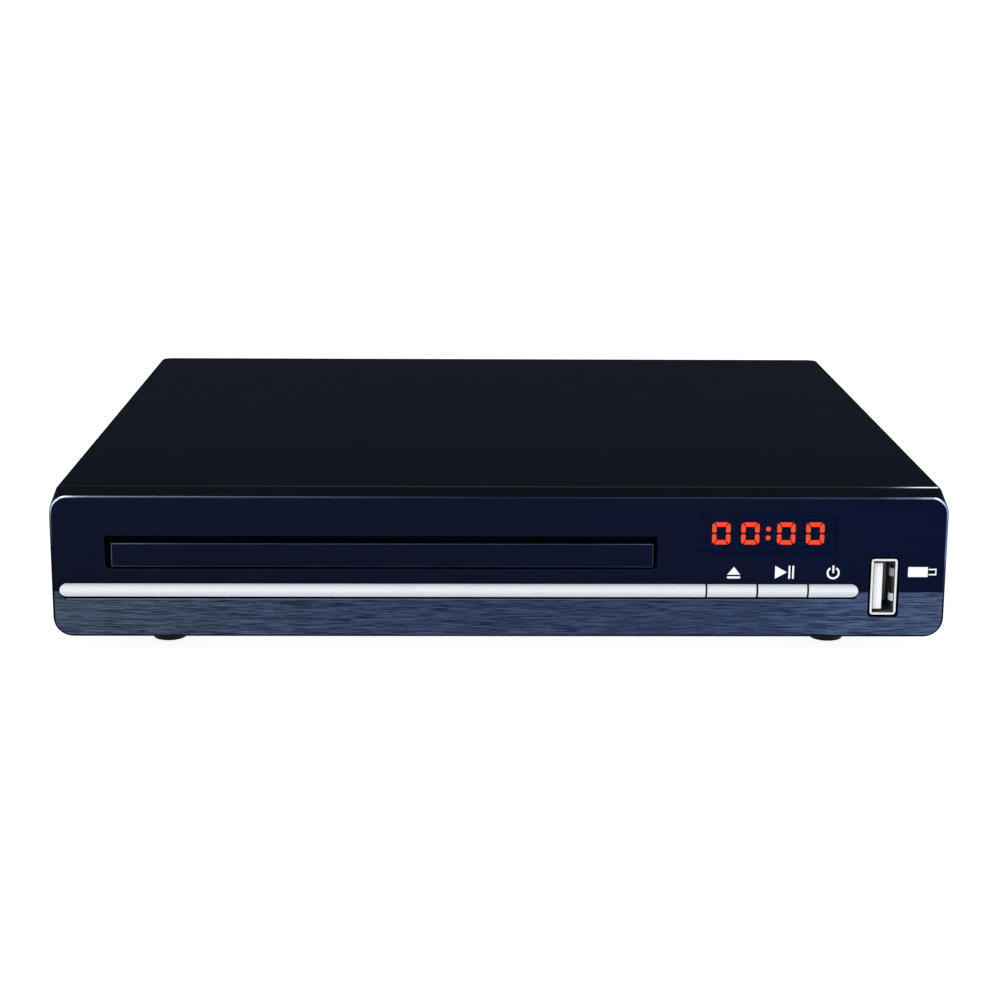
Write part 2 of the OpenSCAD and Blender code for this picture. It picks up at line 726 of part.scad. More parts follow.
// One moulding: a sloped surround that grows from the cover to the rounded face.
module front_panel() {
    inner = cover_w / 2 - 2.4;
    rim_half = cover_w / 2 - sheet_t - rim_gap;
    rim_top = cover_top - sheet_t - rim_gap;
    rim_low = pan_top + rim_gap;
    color([0.16, 0.2, 0.29]) in_case() difference() {
        union() {
            difference() {
                hull() {
                    face_slice(0, edge_round);
                    face_slice(edge_round * 0.3, edge_round * 0.3);
                    face_slice(edge_round, 0);
                    upright(bezel_d - 0.01, bezel_d)
                        translate([0, (panel_z + 0.8 + cover_top) / 2])
                            rounded_rect(cover_w, cover_top - panel_z - 0.8, cover_bend);
                }
                block([-inner, wall, rim_low + rim_t], [inner, bezel_d + past, cover_top - 2.6]);
            }
            difference() {
                block([-rim_half, bezel_d, rim_low], [rim_half, bezel_d + rim_d, rim_top]);
                block([rim_t - rim_half, bezel_d - past, rim_low + rim_t],
                    [rim_half - rim_t, bezel_d + rim_d + past, rim_top - rim_t]);
            }
            block([loader_mid - recess_w / 2 - recess_wall, wall, recess_low - recess_wall],
                [loader_mid + recess_w / 2 + recess_wall, recess_floor_y + recess_wall,
                    recess_top + recess_wall]);
            block([1 - inner, wall, bar_level - bar_h],
                [bar_right - 1, wall + 0.8, recess_low - recess_wall]);
            for (s = boss_spots) bar_along_y(wall, front_board_y, s, standoff_r);
        }
        upright(-past, plate_t) plate_outline();
        front_openings(-past, wall + past);
        upright(-past, bar_seat) bar_outline(bar_left, bar_right, 0, true, false);
        for (x = bar_pegs) bar_along_y(0, bezel_d, [x, bar_level], bar_peg_r + running);
        block([loader_mid - slot_half, 0, tray_low - clear],
            [loader_mid + slot_half, recess_floor_y + recess_wall + past, tray_top + clear]);
        block([display_mid - window_w / 2, 0, display_level - window_h / 2],
            [display_mid + window_w / 2, wall + past, display_level + window_h / 2]);
        bar_along_y(0, wall + past, sensor_spot, sensor_r + 0.4);
        for (s = boss_spots)
            bar_along_y(front_board_y - 5, front_board_y + past, s, screw_r_small + running);
    }
}

// Glossy plate over the upper face, let into the panel.
module face_plate() {
    color([0.05, 0.07, 0.13]) in_case() difference() {
        upright(0, plate_t) plate_outline();
        front_openings(-past, plate_t + past);
        upright(-past, plate_t + past) bar_outline(bar_left, bar_right, 0, true, false);
        block([display_mid - window_w / 2, -past, display_level - window_h / 2],
            [display_mid + window_w / 2, plate_t + past, display_level + window_h / 2]);
    }
}

module display_window() {
    color([0.04, 0.04, 0.07, 0.5]) in_case()
        block([display_mid - window_w / 2, 0, display_level - window_h / 2],
            [display_mid + window_w / 2, plate_t, display_level + window_h / 2]);
}

// Fixed part of the bright bar, with pegs that pass through the panel.
module trim_bar() {
    color([0.88, 0.9, 0.93]) in_case() {
        bar_strip(bar_left, bar_right, bar_seat, true, false);
        for (x = bar_pegs) bar_along_y(bar_seat, wall + 2, [x, bar_level], bar_peg_r);
    }
}

// A button: its cap is a length of the bar, with a collar behind the wall and a stem.
module button(index) {
    x0 = buttons_left + index * button_pitch;
    x1 = x0 + button_w;
    mid = (x0 + x1) / 2;
    last = index == 2;
    color([0.88, 0.9, 0.93]) in_case() {
        bar_strip(x0, x1, wall + 0.2, false, last);
        block([x0, wall + 0.2, bar_level - bar_h / 2 - collar_reach],
            [x1, wall + 1.4, bar_level + bar_h / 2 + collar_reach]);
        bar_along_y(wall + 1.4, plunger_y, [mid, bar_level], 1.6);
        block([mid - 3, wall + 1.4, bar_level - 0.5], [mid + 3, plunger_y - 2, bar_level + 0.5]);
    }
}
module eject_button() { button(0); }
module play_button() { button(1); }
module power_button() { button(2); }

module plunger(index) {
    mid = buttons_left + index * button_pitch + button_w / 2;
    color([0.1, 0.1, 0.1]) in_case()
        bar_along_y(plunger_y, switch_y + 0.8, [mid, bar_level], plunger_r);
}
module eject_plunger() { plunger(0); }
module play_plunger() { plunger(1); }
module power_plunger() { plunger(2); }

// Three tact switch bodies on the front board, each bored for its plunger.
module switch_bodies() {
    color([0.25, 0.25, 0.27]) in_case() for (i = [0:2]) {
        mid = buttons_left + i * button_pitch + button_w / 2;
        difference() {
            block([mid - 3, switch_y, bar_level - 3], [mid + 3, front_board_y, bar_level + 3]);
            bar_along_y(switch_y - past, switch_y + 2, [mid, bar_level], plunger_r + running);
        }
    }
}

// Upright circuit board behind the front panel.
module front_board() {
    color([0.1, 0.3, 0.16]) in_case() difference() {
        block([front_board_x[0], front_board_y, front_board_z[0]],
            [front_board_x[1], front_board_y + board_t, front_board_z[1]]);
        for (s = boss_spots)
            bar_along_y(front_board_y - past, front_board_y + board_t + past, s, screw_r_small + running);
    }
}

module led_display() {
    color([0.06, 0.06, 0.08]) in_case() {
        block([display_mid - led_w / 2, led_front, display_level - led_h / 2],
            [display_mid + led_w / 2, led_front + 8, display_level + led_h / 2]);
        for (i = [-3:3], s = [-1, 1])
            block([display_mid + 4 * i - 0.3, led_front + 8, display_level + s * 3.6 - 0.3],
                [display_mid + 4 * i + 0.3, front_board_y, display_level + s * 3.6 + 0.3]);
    }
}

// Lit strokes of one zero, with mitred ends. The middle stroke is dark.
module lit_digit() {
    w = digit_w / 2;
    h = digit_h / 2;
    s = digit_stroke;
    g = digit_stroke * 0.15;
    c = digit_stroke * 0.5;
    for (my = [0, 1]) mirror([0, my]) {
        polygon([[c + g - w, h], [w - c - g, h], [w - s - g, h - s], [s + g - w, h - s]]);
        for (mx = [0, 1]) mirror([mx, 0])
            polygon([[w - c + g, h - g], [w, h - c - g], [w, g + 0.2 * s], [w - s / 2, g],
                [w - s, g + 0.2 * s], [w - s, h - s - g]]);
    }
}

// Four zeros and a colon on the face of the display.
module led_segments() {
    color([1, 0.3, 0.1]) in_case() translate([display_mid, 0, display_level])
        upright(led_front - segment_t, led_front) {
            for (m = [-1, 1], k = [0, 1]) translate([m * (colon_half + k * digit_pitch), 0]) lit_digit();
            for (m = [-1, 1]) translate([0, m * digit_h * 0.2]) circle(digit_stroke * 0.55);
        }
}

module infrared_sensor() {
    color([0.08, 0.05, 0.07]) in_case() {
        block([sensor_spot[0] - 3, front_board_y - 6, sensor_spot[1] - 3.5],
            [sensor_spot[0] + 3, front_board_y, sensor_spot[1] + 3.5]);
        bar_along_y(front_board_y - 8, front_board_y - 6, sensor_spot, sensor_r);
    }
}

// Front port for memory sticks: a sheet-metal box with a turned-out rim, open at the front.
module port_shell() {
    w = port_w / 2;
    h = port_h / 2;
    t = port_sheet;
    rim = port_step;
    color([0.8, 0.81, 0.83]) in_case() translate([port_mid, 0, port_level]) difference() {
        union() {
            block([rim - w, port_front + t, rim - h], [w - rim, front_board_y, h - rim]);
            upright(port_front, port_front + t) rounded_rect(port_w, port_h, 0.9);
        }
        block([rim + t - w, port_front - past, rim + t - h],
            [w - rim - t, front_board_y - t, h - rim - t]);
        for (z = [-3.4, 3.4], m = [-0.9, 0.9])
            block([w - rim - t - past, port_front + 1.6, z + m - 0.1],
                [w + past, port_front + 7.5, z + m + 0.1]);
    }
}

module port_tongue() {
    inner = port_w / 2 - port_step - port_sheet;
    high = port_h / 2 - port_step - port_sheet;
    tall = high - 0.75;
    color([0.93, 0.93, 0.9]) in_case() translate([port_mid, 0, port_level]) {
        block([port_gap_left - inner, port_front + 0.8, -tall],
            [port_gap_left + port_tongue_t - inner, front_board_y - 2, tall]);
        block([-inner, front_board_y - 2, -high], [inner, front_board_y - port_sheet, high]);
    }
}

module port_contacts() {
    inner = port_w / 2 - port_step - port_sheet;
    x0 = port_gap_left + port_tongue_t - inner;
    color([0.85, 0.68, 0.3]) in_case() translate([port_mid, 0, port_level])
        for (z = [-3.5, -1, 1, 3.5])
            block([x0, port_front + 1.6, z - 0.5], [x0 + 0.2, front_board_y - 2, z + 0.5]);
}

// ---- Boards, jacks and inlet ----

module lying_board(x, y, posts) {
    difference() {
        block([x[0], y[0], board_low], [x[1], y[1], board_top]);
        for (s = posts) bar_along_z(board_low - past, board_top + past, s, screw_r_small + running);
    }
}

module main_board() {
    color([0.1, 0.32, 0.17]) in_case() lying_board(main_x, main_y, main_posts);
}

module power_board() {
    color([0.55, 0.4, 0.2]) in_case() lying_board(power_x, power_y, power_posts);
}

module jack_board() {
    color([0.1, 0.32, 0.17]) in_case() lying_board(jack_board_x, jack_board_y, jack_posts);
}

// A flat chip with legs on all four sides, centred on the origin.
module chip(size, legs) {
    translate([-size / 2, -size / 2, 0.2]) cube([size, size, 1.4]);
    for (a = [0:90:270], i = [0:legs - 1]) rotate(a)
        translate([size / 2, (i + 0.5) * size / legs - size / 2 - 0.2, 0]) cube([1, 0.4, 0.5]);
}

module main_board_chips() {
    color([0.09, 0.09, 0.1]) in_case() {
        translate([main_x[0] + 28, main_y[0] + 38, board_top]) chip(20, 12);
        translate([main_x[1] - 8, main_y[0] + 34, board_top]) chip(9, 6);
        translate([main_x[0] + 13, main_y[0] + 18, board_top]) chip(10, 6);
        translate([video_x - 5, jack_board_y[0] + 6, board_top]) chip(6, 4);
    }
}

// White cable sockets on the boards.
module board_sockets() {
    color([0.92, 0.91, 0.86]) in_case() {
        for (s = concat(main_sockets, power_sockets, jack_sockets))
            block([s[0] - s[2] / 2, s[1] - 2.5, board_top],
                [s[0] + s[2] / 2, s[1] + 2.5, board_top + socket_h]);
        block([main_sockets[2][0] - 7, front_board_y + board_t, front_socket_z - 2.5],
            [main_sockets[2][0] + 7, front_board_y + board_t + socket_h, front_socket_z + 2.5]);
    }
}

// Electrolytic capacitors: [x, y, radius, height]
capacitors = [[main_x[0] + 11, main_y[1] - 26, 3.2, 8], [main_x[0] + 11, main_y[1] - 17, 3.2, 8],
    [main_x[1] - 14, main_y[1] - 18, 4, 9], [power_x[0] + 12, power_y[0] + 15, 5, 14],
    [power_x[0] + 14, power_y[1] - 16.4, 5, 14], [power_x[1] - 6.5, power_y[0] + 36, 5.5, 16],
    [video_x - 19, jack_board_y[0] + 6, 2.6, 7]];

module board_capacitors() {
    color([0.1, 0.12, 0.2]) in_case()
        for (c = capacitors) translate([c[0], c[1], board_top]) {
            cylinder(h = c[3] - 0.6, r = c[2]);
            translate([0, 0, c[3] - 0.6]) cylinder(h = 0.6, r1 = c[2], r2 = c[2] - 0.5);
        }
}

module transformer() {
    color([0.85, 0.75, 0.3]) in_case() translate([power_x[0] + 20, power_y[0] + 36, board_top]) {
        block([-9, -11, 0], [9, 11, 3]);
        block([-11, -6, 3], [11, 6, 15]);
        block([-9, -8.5, 5], [9, 8.5, 13]);
        block([-9, -11, 15], [9, 11, 17]);
    }
}

module heat_sink() {
    color([0.7, 0.71, 0.73]) in_case() translate([power_x[0] + 26, power_y[0] + 10.5, board_top]) {
        for (i = [-2:2]) block([2.6 * i - 0.5, -1, 0], [2.6 * i + 0.5, 3.6, 18]);
        block([-6, 3.6, 0], [6, 4.8, 18]);
    }
}

// A flat cable that rises from one socket and comes down into another.
module flat_cable(x, width, y0, y1, seat, high) {
    t = 0.7;
    translate([x - width / 2, 0, 0]) rotate([90, 0, 90]) linear_extrude(width)
        polygon([[y0 - t / 2, seat], [y0 + t / 2, seat], [y0 + t / 2, high - t], [y1 - t / 2, high - t],
            [y1 - t / 2, seat], [y1 + t / 2, seat], [y1 + t / 2, high], [y0 - t / 2, high]]);
}

module ribbon_cables() {
    seat = board_top + socket_h;
    front_end = front_board_y + board_t + socket_h;
    s = main_sockets[2];
    color([0.8, 0.8, 0.82]) in_case() {
        flat_cable(main_sockets[0][0], 7, main_sockets[0][1], jack_sockets[0][1], seat, seat + 6);
        flat_cable(main_sockets[1][0], 10, main_sockets[1][1], power_sockets[0][1], seat, seat + 5);
        translate([s[0] - 6, 0, 0]) rotate([90, 0, 90]) linear_extrude(12)
            polygon([[front_end, front_socket_z - 0.35], [front_end, front_socket_z + 0.35],
                [s[1] + 0.35, front_socket_z + 0.35], [s[1] + 0.35, seat], [s[1] - 0.35, seat],
                [s[1] - 0.35, front_socket_z - 0.35]]);
    }
}

// Two insulated leads from the inlet's tabs down to the power board.
module mains_leads() {
    s = power_sockets[1];
    start = rear_y - inlet_depth - 6;
    color([0.15, 0.15, 0.16]) in_case() for (m = [-1, 1]) {
        x = inlet_mid + m * inlet_pitch / 2;
        bar_along_y(s[1] - lead_r - 0.2, start, [x, inlet_level], lead_r);
        bar_along_z(board_top + socket_h, inlet_level, [x, s[1]], lead_r - 0.1);
    }
}

// Plastic body behind the back wall that holds the phono jacks.
module jack_block() {
    x0 = jack_first - jack_pitch / 2;
    color([0.08, 0.08, 0.09]) in_case() difference() {
        block([x0, rear_in - 12, board_top], [x0 + jack_count * jack_pitch, rear_in, jack_level + 6]);
        for (i = [0:jack_count - 1])
            bar_along_y(rear_in - jack_seat, rear_in + past, [jack_first + i * jack_pitch, jack_level],
                jack_stem_r + running);
    }
}

// Coloured collars around the jacks, outside the back wall, and the insulators inside them.
module jack_rings() {
    colours = [[0.9, 0.75, 0.1], [0.9, 0.9, 0.9], [0.75, 0.1, 0.1], [0.9, 0.45, 0.1]];
    in_case() for (i = [0:jack_count - 1]) color(colours[i]) {
        c = [jack_first + i * jack_pitch, jack_level];
        difference() {
            bar_along_y(rear_y, rear_y + collar_t, c, jack_dia / 2 + 1.6);
            bar_along_y(rear_y - past, rear_y + collar_t + past, c, jack_stem_r + running);
        }
        difference() {
            bar_along_y(rear_in - jack_seat + 2, body_d + jack_reach - 1, c, jack_bore_r - running);
            bar_along_y(rear_in - jack_seat + 4, body_d + jack_reach + past, c, jack_pin_r);
        }
    }
}

module jack_barrels() {
    color([0.85, 0.86, 0.88]) in_case() for (i = [0:jack_count - 1]) difference() {
        c = [jack_first + i * jack_pitch, jack_level];
        union() {
            bar_along_y(rear_y + collar_t, body_d + jack_reach, c, jack_dia / 2);
            bar_along_y(rear_in - jack_seat, rear_y + collar_t, c, jack_stem_r);
        }
        bar_along_y(rear_in - jack_seat + 1, body_d + jack_reach + past, c, jack_bore_r);
    }
}

// Outline of the digital video socket, wide above and narrow below.
module video_outline(shrink) {
    w = video_w / 2 - shrink;
    h = video_h / 2 - shrink;
    polygon([[-w, h], [w, h], [w, -h * 0.15], [w - 1.6, -h * 0.55], [w - 1.6, -h], [1.6 - w, -h],
        [1.6 - w, -h * 0.55], [-w, -h * 0.15]]);
}

module video_shell() {
    color([0.8, 0.81, 0.83]) in_case() translate([video_x, 0, board_top + video_h / 2]) difference() {
        upright(rear_y - 11, body_d) video_outline(0);
        upright(rear_y - 10.6, body_d + past) video_outline(0.4);
    }
}

module video_tongue() {
    color([0.08, 0.08, 0.08]) in_case() translate([video_x, 0, board_top + video_h / 2]) {
        block([-5.4, rear_y - 8, 0.1], [5.4, rear_y - 1, 1.3]);
        upright(rear_y - 10.6, rear_y - 8) video_outline(0.4);
    }
}

// Figure-eight mains socket with a flange outside the back wall.
module power_inlet() {
    front = rear_y - inlet_depth - 4;
    color([0.07, 0.07, 0.08]) in_case() difference() {
        union() {
            block([inlet_mid - inlet_body[0] / 2, front, inlet_level - inlet_body[1] / 2],
                [inlet_mid + inlet_body[0] / 2, rear_y, inlet_level + inlet_body[1] / 2]);
            translate([inlet_mid, 0, inlet_level]) upright(rear_y, rear_y + 1.8)
                rounded_rect(inlet_body[0] + 4, inlet_body[1] + 3.4, 1.5);
        }
        for (m = [-1, 1])
            bar_along_y(rear_y + 1.8 - inlet_depth, rear_y + 3,
                [inlet_mid + m * inlet_pitch / 2, inlet_level],
                inlet_r);
        block([inlet_mid - inlet_pitch / 2, rear_y + 1.8 - inlet_depth, inlet_level - 3.2],
            [inlet_mid + inlet_pitch / 2, rear_y + 3, inlet_level + 3.2]);
        for (m = [-1, 1])
            bar_along_y(front - past, rear_y, [inlet_mid + m * inlet_pitch / 2, inlet_level],
                inlet_tab_r);
    }
}

module inlet_pins() {
    floor_y = rear_y + 1.8 - inlet_depth;
    color([0.8, 0.8, 0.82]) in_case() for (m = [-1, 1]) {
        c = [inlet_mid + m * inlet_pitch / 2, inlet_level];
        bar_along_y(floor_y, rear_y + 0.6, c, inlet_pin_dia / 2);
        bar_along_y(rear_y - inlet_depth - 6, floor_y, c, inlet_tab_r);
    }
}

// ---- Loader ----

// Fixed frame: side walls with tray ledges and guides, a shelf for the tray drive,
// a rear beam with the deck's hinge ears, and four fixing lugs.
module loader_frame() {
    color([0.2, 0.2, 0.21]) in_loader() difference() {
        union() {
            for (m = [0, 1]) mirror([m, 0, 0]) {
                block([frame_half, frame_front, frame_low], [frame_out, frame_back, bridge_z]);
                block([frame_half - ledge_w, frame_front, tray_low - clear - 2],
                    [frame_half, frame_back, tray_low - clear]);
                for (y = [12, frame_back - 32])
                    block([frame_half - 1.2, y, tray_low + rail_t + clear],
                        [frame_half, y + 18, tray_low + rail_t + clear + 1.5]);
                for (y = lug_y)
                    block([frame_out - 0.5, y - lug_w / 2, frame_low],
                        [frame_out + lug_w, y + lug_w / 2, lug_top]);
                block([frame_out - 0.5, spindle_y - bridge_half, bridge_z - 5],
                    [bridge_reach, spindle_y + bridge_half, bridge_z]);
                block([ear_in, pivot_y - 5, pivot_z - 5], [ear_in + ear_t, frame_back - 12, pivot_z + 4]);
            }
            block([-frame_half, frame_front, shelf_low], [frame_half, shelf_back, shelf_top]);
            block([-frame_half, deck_back + 2, pivot_z - 5], [frame_half, frame_back, pivot_z - 3]);
            bar_along_z(shelf_top, gear_top + 0.1, [gear_x, gear_y], gear_axle_r);
            bar_along_z(shelf_top, tray_low - clear, [pulley_x, gear_y], pulley_axle_r);
            for (x = cam_posts) bar_along_z(shelf_top, shelf_top + 2.4, [x, cam_guide_y], cam_post_r);
        }
        bar_along_x(-frame_half, frame_half, [pivot_y, pivot_z], pivot_r + running);
        bar_along_z(shelf_low - past, shelf_top + past, [motor_x, motor_y], motor_shaft_r + 1.5);
        for (m = [-1, 1], y = lug_y)
            bar_along_z(frame_low - past, lug_top + past, [m * lug_x, y], screw_r_small + running);
        for (m = [-1, 1], y = bridge_screw_y)
            bar_along_z(bridge_z - 4.5, bridge_z + past, [m * bridge_screw_x, y],
                screw_r_small + running);
    }
}

// The tray: a thin floor with a rim, a ring around the disc's place, the long opening
// for the spindle and the lens, rails at both sides and a rack underneath.
module disc_tray() {
    back = tray_y + tray_d;
    color([0.13, 0.13, 0.14]) in_loader() difference() {
        union() {
            difference() {
                block([-tray_half, tray_y, tray_floor_low], [tray_half, back, tray_top]);
                block([rim_wall - tray_half, tray_y + 1.8, disc_level],
                    [tray_half - rim_wall, back - rim_wall, tray_top + past]);
            }
            difference() {
                bar_along_z(disc_level, tray_top - 0.5, [0, spindle_y], pocket_dia / 2 + 1.4);
                bar_along_z(disc_level - past, tray_top + past, [0, spindle_y], pocket_dia / 2);
                block([-tray_half, tray_y - 9, disc_level - past], [tray_half, tray_y, tray_top + past]);
            }
            block([-tray_half, tray_y, tray_low], [tray_half, tray_y + 1.6, tray_floor_low]);
            for (m = [0, 1]) mirror([m, 0, 0]) {
                block([tray_half - 1.6, tray_y, tray_low], [tray_half, back, tray_floor_low]);
                block([tray_half - 0.1, tray_y + 0.4, tray_low], [rail_half, back, tray_low + rail_t]);
            }
            block([rack_x - 4, tray_y + 4, tray_low],
                [rack_x - 1.15 * rack_module, back - 2, tray_floor_low]);
            translate([rack_x, gear_y, tray_low]) linear_extrude(rack_h)
                rack_teeth(rack_module, tray_y + 6 - gear_y, back - 2 - gear_y, tooth_play);
        }
        bar_along_z(disc_level - 0.5, disc_level + past, [0, spindle_y], 40.5);
        bar_along_z(tray_low - past, tray_top + past, [0, spindle_y], turntable_gap_r);
        block([-lens_gap_half, spindle_y, tray_low - past],
            [lens_gap_half, lens_gap_end, tray_top + past]);
    }
}

// Door, fixed flat against the tray's front wall.
module tray_door() {
    mid = door_shift;
    color([0.06, 0.07, 0.13]) in_loader()
        block([mid - door_w / 2, door_set, door_low], [mid + door_w / 2, tray_y, door_low + door_h]);
}

// Bridge over the tray that carries the clamper.
module clamp_bridge() {
    color([0.16, 0.16, 0.17]) in_loader() difference() {
        union() {
            block([-bridge_reach, spindle_y - bridge_half, bridge_z],
                [bridge_reach, spindle_y + bridge_half, bridge_z + bridge_t]);
            bar_along_z(bridge_z, bridge_z + bridge_t, [0, spindle_y], clamp_flange_r + 4);
            for (s = [-1, 1]) for (m = [-1, 1])
                block([min(m * 24, m * (frame_half - 2)), spindle_y + s * (bridge_half - 2) - 0.8,
                    bridge_z],
                    [max(m * 24, m * (frame_half - 2)), spindle_y + s * (bridge_half - 2) + 0.8,
                        bridge_z + 3.2]);
            difference() {
                bar_along_z(bridge_z, bridge_z + 3.2, [0, spindle_y], clamp_flange_r + 3);
                bar_along_z(bridge_z - past, bridge_z + 4, [0, spindle_y], clamp_flange_r + 1.4);
            }
        }
        bar_along_z(bridge_z - past, bridge_z + bridge_t + past, [0, spindle_y], clamp_hole_r);
        for (m = [-1, 1], y = bridge_screw_y)
            bar_along_z(bridge_z - past, bridge_z + bridge_t + past, [m * bridge_screw_x, y],
                screw_r_small + running);
    }
}

// Round clamper: a boss that passes through the bridge and a flange that rests on it.
module clamper() {
    seat = bridge_z + bridge_t;
    color([0.85, 0.85, 0.83]) in_loader() difference() {
        union() {
            bar_along_z(clamp_low, seat + 0.1, [0, spindle_y], clamp_r);
            bar_along_z(seat, seat + 1.4, [0, spindle_y], clamp_flange_r);
        }
        bar_along_z(clamp_low - past, clamp_low + 2.2, [0, spindle_y], 9);
        bar_along_z(clamp_low + 3.2, seat + 1.4 + past, [0, spindle_y], magnet_r + running);
    }
}

module clamp_magnet() {
    color([0.35, 0.35, 0.37]) in_loader() difference() {
        bar_along_z(clamp_low + 3.2, clamp_low + 5.4, [0, spindle_y], magnet_r);
        bar_along_z(clamp_low, clamp_low + 6, [0, spindle_y], 4);
    }
}

// Loading motor under the shelf, bored for the shaft of its pulley.
module loading_motor() {
    color([0.75, 0.76, 0.78]) in_loader() difference() {
        union() {
            bar_along_z(shelf_low - motor_h, shelf_low, [motor_x, motor_y], motor_r);
            bar_along_z(shelf_low - past, shelf_top - 0.2, [motor_x, motor_y], motor_shaft_r + 1.2);
        }
        bar_along_z(shelf_low - motor_h + 1.5, shelf_top + past, [motor_x, motor_y],
            motor_shaft_r + running);
    }
}

// Grooved pulley profile between two levels.
module pulley_wheel(low, high, groove, flange) {
    rotate_extrude() polygon([[0, low], [flange, low], [flange, low + 0.3], [groove, low + 0.65],
        [groove, high - 0.65], [flange, high - 0.3], [flange, high], [0, high]]);
}

module motor_pulley() {
    color([0.9, 0.9, 0.88]) in_loader() translate([motor_x, motor_y, 0]) {
        pulley_wheel(pulley_low, pulley_low + pulley_h, motor_pulley_r, motor_pulley_r + 1.5);
        bar_along_z(shelf_low - motor_h + 2.5, pulley_low + 0.1, [0, 0], motor_shaft_r);
    }
}

module drive_belt() {
    inner1 = pulley_r + belt_gap;
    inner2 = motor_pulley_r + belt_gap;
    reach = [motor_x - pulley_x, motor_y - gear_y];
    color([0.1, 0.1, 0.1]) in_loader() translate([pulley_x, gear_y, pulley_low + (pulley_h - belt_t) / 2])
        rotate(atan2(reach[1], reach[0])) linear_extrude(belt_t) difference() {
            belt_area(inner1 + belt_t, inner2 + belt_t, norm(reach));
            belt_area(inner1, inner2, norm(reach));
        }
}

module pulley_gear() {
    color([0.92, 0.9, 0.82]) in_loader() translate([pulley_x, gear_y, 0]) difference() {
        union() {
            pulley_wheel(pulley_low, pulley_low + pulley_h, pulley_r, pulley_r + 1.4);
            translate([0, 0, pulley_low + pulley_h]) rotate(180 + 180 / pinion_teeth)
                linear_extrude(tray_low - clear - pulley_low - pulley_h)
                    polygon(gear_points(wheel_module, pinion_teeth, tooth_play));
        }
        bar_along_z(shelf_low, tray_low + past, [0, 0], pulley_axle_r + running);
    }
}

// Reduction wheel below, rack gear above, on one hub.
module tray_gear() {
    color([0.92, 0.9, 0.82]) in_loader() translate([gear_x, gear_y, 0]) difference() {
        union() {
            bar_along_z(pulley_low, wheel_low, [0, 0], gear_axle_r + 2);
            translate([0, 0, wheel_low]) linear_extrude(wheel_t)
                polygon(gear_points(wheel_module, wheel_teeth, tooth_play));
            translate([0, 0, wheel_low + wheel_t]) rotate(180)
                linear_extrude(gear_top - wheel_low - wheel_t)
                polygon(gear_points(rack_module, rack_gear_teeth, tooth_play));
        }
        bar_along_z(shelf_low, gear_top + past, [0, 0], gear_axle_r + running);
    }
}

// A slot for a cam pin that climbs by cam_rise as the slider moves by cam_travel.
module cam_slot(x) {
    r = cam_pin_r + cam_slack;
    low = [x, cam_low];
    high = [x + cam_travel, pivot_z];
    a = atan2(high[1] - low[1], high[0] - low[0]);
    n = [-sin(a), cos(a)] * r;
    translate(low) circle(r);
    translate(high) circle(r);
    polygon([low - n, high - n, high + n, low + n]);
}

// Slider with two inclined slots that lift the deck's front.
module cam_slider() {
    color([0.75, 0.76, 0.72]) in_loader() difference() {
        union() {
            upright(cam_y, cam_y + cam_t) difference() {
                translate([cam_left, cam_low - cam_pin_r - 2])
                    square([cam_right - cam_left, tray_low - 0.7 - cam_low + cam_pin_r + 2]);
                for (x = [-cam_pin_x, cam_pin_x]) cam_slot(x);
            }
            block([cam_left, cam_guide_y - 1.9, shelf_top + clear],
                [cam_right, cam_y + 0.1, shelf_top + clear + 1.5]);
            block([cam_rack_left, cam_guide_y - 1.5 + 1.9, wheel_low - 0.2],
                [cam_rack_right, cam_y + 0.1, wheel_low + 1.4]);
            translate([cam_rack_left, cam_guide_y + 0.4, wheel_low - 0.2]) rotate(-90) linear_extrude(1.6)
                translate([0.96, 0])
                    rack_teeth(wheel_module, 0, cam_rack_right - cam_rack_left, tooth_play);
        }
        for (x = cam_posts)
            block([x - cam_post_r - 0.1, cam_guide_y - cam_post_r - 0.1, shelf_top],
                [x + cam_travel + cam_post_r + 0.1, cam_guide_y + cam_post_r + 0.1, shelf_top + 2]);
    }
}

// ---- Deck, drawn level ----

module deck() {
    color([0.17, 0.17, 0.18]) on_deck() difference() {
        union() {
            block([-deck_half, deck_front, deck_low], [deck_half, deck_back, deck_top]);
            block([-deck_half, deck_front, deck_low - 2.4], [deck_half, deck_front + 1.8, deck_low]);
            for (m = [0, 1]) mirror([m, 0, 0]) {
                block([deck_half - 1.6, deck_front, deck_low - 2.4], [deck_half, deck_back, deck_low]);
                bar_along_x(deck_half - 0.1, ear_in + ear_t + 1, [pivot_y, pivot_z], pivot_r);
                bar_along_y(cam_y + 0.3, deck_front + 0.1, [cam_pin_x, pivot_z], cam_pin_r);
                for (y = [rod_front, rod_back - block_t])
                    block([rod_x - 2.6, y, deck_top], [rod_x + 2.6, y + block_t, rod_z + rod_r + 0.5]);
            }
            block([-deck_half, screw_front - 3, screw_z - 2.1],
                [screw_x + 3, screw_front + 0.5, deck_low + 0.5]);
            block([screw_x - 5, window_back - 0.8, screw_z - 4],
                [screw_x + 5, feed_motor_y, deck_low + 0.5]);
        }
        block([-20.6, window_front, deck_low - past], [22, window_back, deck_top + past]);
        block([-29, nut_y - 5, deck_low - past], [-20, window_back - 0.8, deck_top + past]);
        bar_along_z(deck_low - past, deck_top + past, [0, spindle_y], 4.2);
        for (m = [-1, 1])
            bar_along_y(rod_front + 0.8, rod_back - 0.8, [m * rod_x, rod_z], rod_r + 0.02);
        bar_along_y(screw_front - 2, screw_front + past, [screw_x, screw_z], screw_r + running);
        bar_along_y(window_back - 2, feed_motor_y + past, [screw_x, screw_z], screw_r + running);
    }
}

